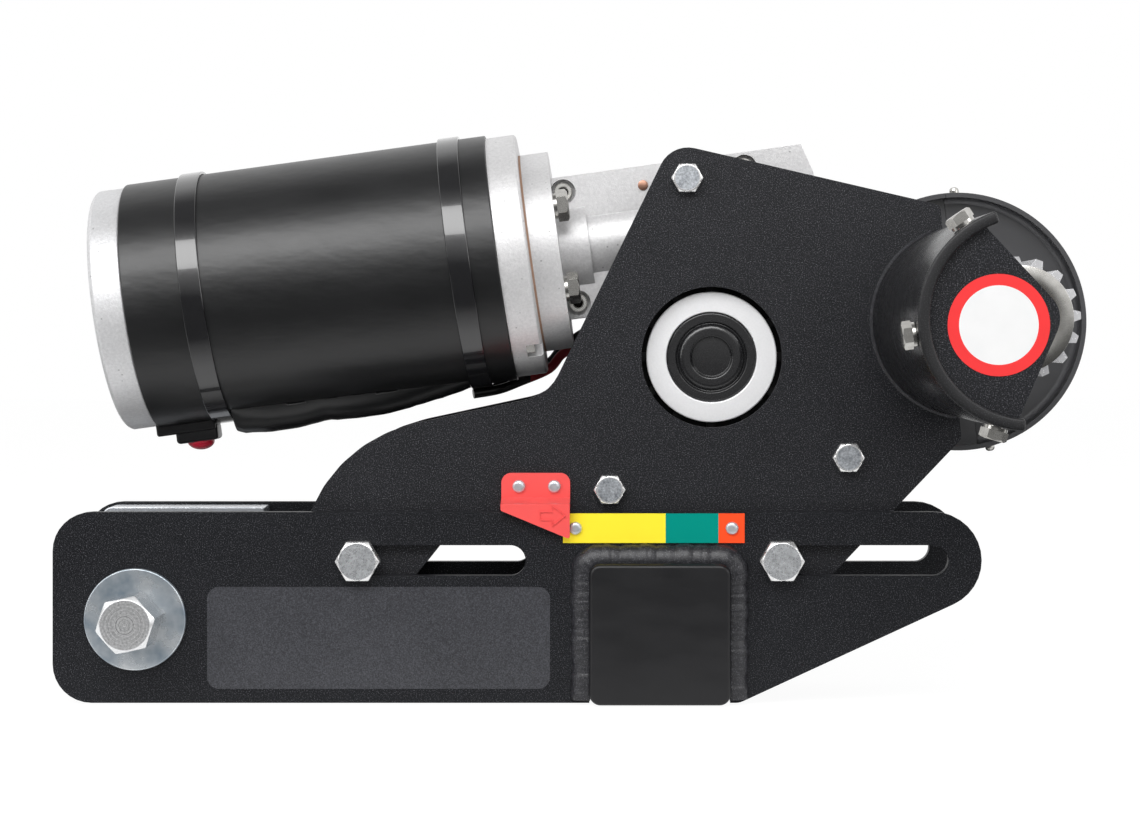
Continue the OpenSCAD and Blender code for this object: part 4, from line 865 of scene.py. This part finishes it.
# %% The terminals
def soft_brick(mesh, along, up, deep, radius, corner):
    """Adds a brick with round edges. Its sizes run along and up from a corner, tilted with the motor."""
    made = bmesh.ops.create_cube(mesh, size=1)["verts"]
    bmesh.ops.scale(mesh, vec=(along[1] - along[0], 2 * deep, up[1] - up[0]), verts=made)
    bmesh.ops.translate(mesh, vec=((along[0] + along[1]) / 2, 0, (up[0] + up[1]) / 2), verts=made)
    bmesh.ops.rotate(mesh, cent=(0, 0, 0), matrix=Matrix.Rotation(-motor_tilt, 3, "Y"), verts=made)
    bmesh.ops.translate(mesh, vec=corner, verts=made)
    round_off(mesh, [edge for edge in mesh.edges if edge.verts[0] in made], radius, 4)


terminal_corner = Vector((-0.2379, 0, 0.1212))
terminal = bmesh.new()
soft_brick(terminal, along=(0.0004, 0.0284), up=(0.0000, 0.0066), deep=0.0090, radius=0.0012,
           corner=terminal_corner)
soft_brick(terminal, along=(0.0090, 0.0290), up=(-0.0048, 0.0030), deep=0.0076, radius=0.0018,
           corner=terminal_corner)
terminal_body = body_of_node["terminal_base"]
moulding = as_piece(terminal, "terminal_moulding", "cap_black", terminal_body, ["terminal_base"])
smooth_by_angle(moulding, 40)

dome = bmesh.new()
bmesh.ops.create_uvsphere(dome, u_segments=48, v_segments=24, radius=1)
bmesh.ops.scale(dome, vec=(0.0065, 0.0065, 0.0043), verts=dome.verts)
bmesh.ops.translate(dome, vec=(-0.2180, 0, 0.1194), verts=dome.verts)
red_dome = as_piece(dome, "terminal_dome", "boot_red", body_of_node["terminal_boot"], ["terminal_boot"])
smooth_by_angle(red_dome, 60)
for piece in (moulding, red_dome):
    print(piece.name, len(piece.data.polygons), "faces")

# %% [markdown]
# The guard is half of a pipe, and its polished outside shows every uneven face. So it is turned here again
# from one rectangle, the pipe's wall seen from its end, that is spun round the roller's axis in even steps.
# It has the size and the place of the CAD solid that it stands for.

# %% The guard, spun from its wall
guard_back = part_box("guard_pipe")[1][1]
guard_outer = 0.04445
guard_wall = 0.00485


def half_pipe(name, start, stop, steps):
    """Part of a pipe round the axle, between two angles in degrees."""
    pipe = bmesh.new()
    length = guard_back - guard_front
    first_spot = (guard_outer - guard_wall / 2, (guard_front + guard_back) / 2, 0)
    first_turn = Matrix.Rotation(math.radians(-start), 3, "Y")
    bmesh.ops.create_grid(pipe, x_segments=1, y_segments=1, size=0.5)
    bmesh.ops.scale(pipe, vec=(guard_wall, length, 1), verts=pipe.verts)
    bmesh.ops.translate(pipe, vec=first_spot, verts=pipe.verts)
    bmesh.ops.rotate(pipe, cent=(0, 0, 0), matrix=first_turn, verts=pipe.verts)
    bmesh.ops.spin(pipe, geom=pipe.faces[:] + pipe.edges[:] + pipe.verts[:], cent=(0, 0, 0), axis=(0, -1, 0),
                   angle=math.radians(stop - start), steps=steps)
    bmesh.ops.translate(pipe, vec=(axle[0], 0, axle[1]), verts=pipe.verts)
    bmesh.ops.recalc_face_normals(pipe, faces=pipe.faces)
    round_off(pipe, sharp_edges(pipe, 60), 0.0010, 3)
    piece = as_piece(pipe, name, "guard_black", body_of_node["guard_pipe"], ["guard_pipe"])
    smooth_by_angle(piece, 40)
    return piece


guard = half_pipe("guard_half_pipe", start=108, stop=267, steps=96)
guard_corners = (guard.bound_box[0], guard.bound_box[6])
print(guard.name, "box", [[round(value, 4) for value in corner] for corner in guard_corners])

# %% [markdown]
# A weld is a row of small overlapping puddles. One quarter round is pulled along the corner of tube and
# plate. Each pull is an extrusion of the last ring's edges, moved by the matrix that leads from one station
# to the next, so the corners of the tube cost nothing extra. A Bevel on a curve would need the quarter
# round as a curve of its own, and its size at each point as well.

# %% Pull a ring along a path
def pulled_through(mesh, stations):
    """Closes the ring at both ends and pulls it through every station, the first of which it lies in."""
    loop = mesh.edges[:]
    bmesh.ops.contextual_create(mesh, geom=loop)
    for before, after in zip(stations, stations[1:]):
        made = bmesh.ops.extrude_edge_only(mesh, edges=loop)["geom"]
        points = [item for item in made if isinstance(item, bmesh.types.BMVert)]
        loop = [item for item in made if isinstance(item, bmesh.types.BMEdge)
                and all(vert in points for vert in item.verts)]
        bmesh.ops.transform(mesh, matrix=after @ before.inverted(), verts=points)
    bmesh.ops.contextual_create(mesh, geom=loop)
    bmesh.ops.recalc_face_normals(mesh, faces=mesh.faces)


def station(spot, out, along, size):
    """Local X points out, local Z along the path, and the ring is size times as big."""
    turned = Matrix((out, along.cross(out), along)).transposed().to_4x4()
    return Matrix.Translation(spot) @ turned @ Matrix.Scale(size, 4)


test_station = station(Vector((1, 2, 3)), Vector((1, 0, 0)), Vector((0, 0, 1)), 2)
print("a station's place and size:", tuple(test_station.translation), test_station.median_scale)

# %% [markdown]
# The weld goes up the tube's left side, over its top and down its right side. Its place after any run is
# worked out from the tube's width and its corner radius, so the path needs no list of points.

# %% The weld's path round the tube
tube_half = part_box("crossbar_tube")[1][0]
tube_round = 0.005
weld_foot = 0.0016
weld_step = 0.00045
flat_half = tube_half - tube_round
corner_height = 2 * tube_half - tube_round
side_run = corner_height - weld_foot
corner_run = tube_round * math.pi / 2
weld_run = 2 * side_run + 2 * corner_run + 2 * flat_half


def on_corner(x, angle):
    turned = math.radians(angle)
    return x + tube_round * math.cos(turned), corner_height + tube_round * math.sin(turned), angle


def weld_spot(run):
    """X, Z and the angle that points away from the tube, after one run along the weld."""
    if run < side_run:
        return -tube_half, weld_foot + run, 180
    run -= side_run
    if run < corner_run:
        return on_corner(-flat_half, 180 - 90 * run / corner_run)
    run -= corner_run
    if run < 2 * flat_half:
        return run - flat_half, 2 * tube_half, 90
    run -= 2 * flat_half
    if run < corner_run:
        return on_corner(flat_half, 90 - 90 * run / corner_run)
    return tube_half, corner_height - (run - corner_run), 0


print("weld:", round(weld_run, 4), "m in", int(weld_run / weld_step), "steps")

# %% [markdown]
# The puddles make ripples: the ring swells and shrinks once for each. A hand doesn't weld evenly, so two
# slower waves of unequal length let the bead wander too. They are sines and not random, so the bead is the
# same on each run. The ring is a circle cut down to its outer quarter, a little sunk in both metals.

# %% Rippled welds round the tube
weld_width = 0.0088
weld_depth = 0.0063
puddle = 0.0042
puddle_swell = 0.035
slow_waves = ((0.035, 310), (0.025, 733))
least_size = 0.91
sunk = 0.05


def rippled_weld(name, face, away):
    """A bead on one face of the base plates, for the Y of the face and the way it looks along Y."""
    stations = []
    for index in range(int(weld_run / weld_step) + 1):
        run = index * weld_step
        x, z, angle = weld_spot(run)
        out = Vector((math.cos(math.radians(angle)), 0, math.sin(math.radians(angle))))
        along = Vector((out.z, 0, -out.x)) * away
        wave = abs(math.sin(math.pi * run / puddle)) ** 0.8
        wander = sum(height * math.sin(run * rate) for height, rate in slow_waves)
        size = least_size + puddle_swell * wave + wander
        stations.append(station(Vector((x, face, z)), out, along, size))
    bead = bmesh.new()
    bmesh.ops.create_circle(bead, radius=1, segments=28)
    for vert in bead.verts:
        vert.co.x = max(vert.co.x, -sunk)
        vert.co.y = max(vert.co.y, -sunk)
    bmesh.ops.remove_doubles(bead, verts=bead.verts, dist=0.001)
    bmesh.ops.scale(bead, vec=(weld_width, weld_depth, 1), verts=bead.verts)
    bmesh.ops.transform(bead, matrix=stations[0], verts=bead.verts)
    pulled_through(bead, stations)
    piece = as_piece(bead, name, "weld_black", body_of_node["tube_welds"], ["tube_welds"])
    smooth_by_angle(piece, 60)
    low = [round(min(corner[axis] for corner in piece.bound_box), 4) for axis in range(3)]
    print(name, len(piece.data.polygons), "faces, from", low)


rippled_weld("tube_weld_front", base_front, 1)
rippled_weld("tube_weld_rear", -base_front, -1)

# %% [markdown]
# The front of the base carries a bare panel: a thin dark film with round corners, a little smoother than the
# powder coat round it. It could be a colour on the plate, but then its edge would catch no light. One grid
# face becomes it, with its corners bevelled and its edge pulled back to the plate. The first two functions
# serve the flat pieces that follow too.

# %% The bare label panel
def face_front(mesh, x, y, z):
    """Turns what lies level so that it faces the front, and moves it to its place."""
    upright = Matrix.Rotation(math.radians(90), 3, "X")
    bmesh.ops.rotate(mesh, cent=(0, 0, 0), matrix=upright, verts=mesh.verts)
    bmesh.ops.translate(mesh, vec=(x, y, z), verts=mesh.verts)


def thicken(mesh, thick):
    """Pulls every face back along Y and closes the shell."""
    pulled = bmesh.ops.extrude_face_region(mesh, geom=mesh.faces[:], use_keep_orig=True)
    moved = [item for item in pulled["geom"] if isinstance(item, bmesh.types.BMVert)]
    bmesh.ops.translate(mesh, vec=(0, thick, 0), verts=moved)
    bmesh.ops.recalc_face_normals(mesh, faces=mesh.faces)


film_thick = 0.00024
film_lift = 0.00025


def bare_panel(name, left, right, low, high, corner):
    film = bmesh.new()
    bmesh.ops.create_grid(film, x_segments=1, y_segments=1, size=0.5)
    bmesh.ops.scale(film, vec=(right - left, high - low, 1), verts=film.verts)
    face_front(film, (left + right) / 2, base_front - film_lift, (low + high) / 2)
    bmesh.ops.bevel(film, geom=film.verts[:], offset=corner, segments=8, profile=0.5, affect="VERTICES",
                    material=-1)
    thicken(film, film_thick)
    piece = as_piece(film, name, "panel_dark", body_of_node["base_plate_front"])
    smooth_by_angle(piece, 30)
    return piece


panel = bare_panel("label_panel", left=-0.2087, right=-0.0506, low=0.0065, high=0.0535, corner=0.0055)
print("panel:", [round(size, 4) for size in panel.dimensions])

# %% [markdown]
# The bearing block carries a plain white disc with a red rim. It could be a ring and a disc, laid one in the
# other with a seam to hide. One circle does without: its face is inset, and the two parts take their own
# colour.

# %% The plain round sign
block_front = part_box("bearing_block")[0][1]


def round_sign(name, x, z, radius, rim):
    disc = bmesh.new()
    bmesh.ops.create_circle(disc, cap_ends=True, radius=radius, segments=72)
    face_front(disc, x, block_front - film_lift, z)
    bmesh.ops.inset_region(disc, faces=disc.faces[:], thickness=rim, depth=0.0, use_boundary=True)
    thicken(disc, film_thick)
    for face in disc.faces:
        spot = face.calc_center_median()
        away = math.dist((spot.x, spot.z), (x, z))
        face.material_index = 0 if away < radius * 0.2 else 1
    piece = as_piece(disc, name, "sign_white", body_of_node["bearing_block"])
    piece.data.materials.append(finishes["sign_red"])
    smooth_by_angle(piece, 30)
    return piece


sign = round_sign("round_sign", x=axle[0] - 0.0122, z=axle[1] - 0.0026, radius=0.0202, rim=0.0045)
print("sign at", [round(value, 4) for value in sign.bound_box[0]])

# %% [markdown]
# A ground ring closes the roller's end. It starts as a capped circle whose face is inset to the ring's width
# and thrown away, and what is left gets its thickness. A ring that is spun from a rectangle would be the
# same piece, with a seam to merge.

# %% The roller's end ring
def end_ring(name, outer, inner, front, thick):
    """A ring round the axle with its edges broken."""
    ring = bmesh.new()
    bmesh.ops.create_circle(ring, cap_ends=True, radius=outer, segments=96)
    face_front(ring, axle[0], front, axle[1])
    inside = ring.faces[:]
    bmesh.ops.inset_region(ring, faces=inside, thickness=outer - inner, depth=0.0, use_boundary=True)
    bmesh.ops.delete(ring, geom=inside, context="FACES")
    thicken(ring, thick)
    round_off(ring, sharp_edges(ring, 60), 0.0003, 2)
    piece = as_piece(ring, name, "bolt_steel", body_of_node["roller"])
    smooth_by_angle(piece, 30)
    return piece


roller_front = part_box("roller")[0][1]
roller_ring = end_ring("roller_end_ring", outer=0.0217, inner=0.0134, front=roller_front - 0.0019,
                       thick=0.0018)
print("ring:", len(roller_ring.data.polygons), "faces")

# %% [markdown]
# A copper plug closes an oil hole in the casting, and an arrow outline is pressed into the pointer's red
# paint. The plug is a low drum with a round rim. The arrow's seven corners are joined by edges first: a face
# made from loose corners alone would take them in the order of their angles and become a star.

# %% Oil plug and pressed arrow
def oil_plug(name, x, z, radius, front, high):
    drum = bmesh.new()
    bmesh.ops.create_cone(drum, cap_ends=True, segments=40, radius1=radius, radius2=radius, depth=high)
    face_front(drum, x, front - high / 2 + 0.0002, z)
    rim = [edge for edge in drum.edges if all(vert.co.y < front - high / 2 for vert in edge.verts)]
    round_off(drum, rim, radius * 0.18, 3)
    piece = as_piece(drum, name, "copper_plug", body_of_node["gearbox_body"])
    smooth_by_angle(piece, 50)
    return piece


def pressed_arrow(name, x, z, size, front, thick):
    """An arrow outline that points right, from its tail at x."""
    shares = [(0, 0.17), (0.47, 0.17), (0.47, 0.40), (1, 0), (0.47, -0.40), (0.47, -0.17), (0, -0.17)]
    shape = bmesh.new()
    corners = [shape.verts.new((x + size * a, front, z + size * b)) for a, b in shares]
    outline = [shape.edges.new(pair) for pair in zip(corners, corners[1:] + corners[:1])]
    whole = bmesh.ops.contextual_create(shape, geom=outline)["faces"]
    bmesh.ops.inset_region(shape, faces=whole, thickness=size * 0.055, depth=0.0, use_boundary=True)
    bmesh.ops.delete(shape, geom=whole, context="FACES")
    thicken(shape, thick)
    return as_piece(shape, name, "pointer_red", body_of_node["position_pointer"])


pointer_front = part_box("position_pointer")[0][1]
plug = oil_plug("oil_plug", x=-0.0075, z=0.2403, radius=0.0024, front=-0.0140, high=0.0008)
arrow = pressed_arrow("pressed_arrow", x=-0.0556, z=0.0866, size=0.0125, front=pointer_front - 0.0006,
                      thick=0.0008)
for piece in (plug, arrow):
    print(piece.name, "from", [round(value, 4) for value in piece.bound_box[0]])

# %% [markdown] The object stands on a wide floor, a hair below its lowest face so that the two never
# share a plane.

# %% Floor
floor_mesh = bmesh.new()
bmesh.ops.create_grid(floor_mesh, x_segments=2, y_segments=2, size=6)
bmesh.ops.translate(floor_mesh, vec=(0, 0, -0.0006), verts=floor_mesh.verts)
floor_data = bpy.data.meshes.new("studio_floor")
floor_mesh.to_mesh(floor_data)
floor_mesh.free()
floor = bpy.data.objects.new("studio_floor", floor_data)
bpy.context.scene.collection.objects.link(floor)
print("floor:", len(floor_data.polygons), "faces at a height of", round(floor_data.vertices[0].co.z, 4))

# %% [markdown]
# The floor is white paper. Light Path tells a ray from the camera, from a glossy surface and the rest apart:
# the camera sees white, and metal sees a glow that is bright just in front of the base and again far behind
# it, a painted pool of light, and dim between, under the object: a painted shadow that only reflections see.
# More light on a plain floor would give this white too, but it would wash out the object. A part of the
# paper's own shading stays in the camera's view, and with it the object's shadow.

# %% White paper
def ray(tree, question):
    return add_node(tree, "ShaderNodeLightPath", out=question)


def mirror_rays(tree):
    """1 for a ray that a glossy or a clear surface sends out."""
    return ray(tree, "Is Glossy Ray").math("MAXIMUM", ray(tree, "Is Transmission Ray"))


paper = Finish("floor_paper", (0.88, 0.88, 0.88), 0.9, gloss=0.1)
seen = ray(paper.tree, "Is Camera Ray")
mirrored = mirror_rays(paper.tree)
depth = paper.axis("Y")
# A painted pool of light just in front of the base and far behind it, and a painted shadow under the object,
# seen only in reflections.
painted_floor_glow = depth.between(-0.27, -0.12) * (1 - depth.between(-0.06, 0.02)) + depth.between(0.25, 0.6)
glow_strength = seen * 1.10 + mirrored * (0.10 + painted_floor_glow * 0.90)
glow = paper.node("ShaderNodeEmission", Color=(1, 1, 1, 1), Strength=glow_strength)
plain = Value(paper.tree, paper.shader.outputs[0])
surface = paper.node("ShaderNodeMixShader", numbered={0: seen * 0.86 + mirrored, 1: plain, 2: glow})
paper.tree.links.new(surface.socket, paper.tree.nodes["Material Output"].inputs["Surface"])
floor_data.materials.append(paper.material)
print("paper nodes:", len(paper.tree.nodes))

# %% [markdown]
# The world is white to the camera. Metal and gloss see that white behind the object, but in front of it a
# room: dim near the level of the lens, lighter to the upper right and dim again overhead. This gives the
# black plates their soft gradient, where an even world would turn them flat. The rest is even fill light.

# %% World
world = bpy.data.worlds.new("studio")
bpy.context.scene.world = world
world.use_nodes = True
sky = world.node_tree
seen = ray(sky, "Is Camera Ray")
mirrored = mirror_rays(sky)
heading = add_node(sky, "ShaderNodeTexCoord", out="Generated")
along_x = add_node(sky, "ShaderNodeSeparateXYZ", out="X", Vector=heading)
along_y = add_node(sky, "ShaderNodeSeparateXYZ", out="Y", Vector=heading)
along_z = add_node(sky, "ShaderNodeSeparateXYZ", out="Z", Vector=heading)
backdrop = (along_y - along_z * 0.45).between(-0.3, 0.15)
upper_right = (along_x * 0.5 + along_z * 1.4).between(-0.10, 0.42)
overhead = along_z.between(0.72, 0.92)
front_room = 0.06 + upper_right - overhead * 0.86
room = front_room * (1 - backdrop) + backdrop
fill = 0.37
strength = seen + mirrored * room + (1 - seen) * (1 - mirrored) * fill
sky.links.new(strength.socket, sky.nodes["Background"].inputs["Strength"])
sky.nodes["Background"].inputs["Color"].default_value = (1, 1, 1, 1)
bpy.context.scene.view_settings.view_transform = "Standard"
print("fill light", fill, "world nodes", len(sky.nodes))

# %% [markdown]
# Black parts are drawn by what they reflect. A long soft box in front, above the lens, makes the broad band
# on the motor's sleeve, a second one from the left opens the castings, and a weak one fills the right. Small
# lamps would leave hard dots there.

# %% Soft boxes
def soft_box(name, spot, aim, wide, high, power):
    lamp = bpy.data.lights.new(name, "AREA")
    lamp.shape = "RECTANGLE"
    lamp.size = wide
    lamp.size_y = high
    lamp.energy = power
    box = bpy.data.objects.new(name, lamp)
    box.location = spot
    box.rotation_euler = (Vector(aim) - Vector(spot)).to_track_quat("-Z", "Y").to_euler()
    bpy.context.scene.collection.objects.link(box)
    print(name, "at", spot, "power", power)


soft_box("box_front", (-0.3, -1.28, 1.16), (-0.05, 0, 0.12), 1.6, 0.75, 20)
soft_box("box_left", (-1.6, -1.1, 0.7), (-0.1, 0, 0.12), 0.8, 1.2, 8)
soft_box("box_right", (1.5, -0.9, 0.9), (0.1, 0, 0.12), 0.7, 1.0, 6)

# %% [markdown]
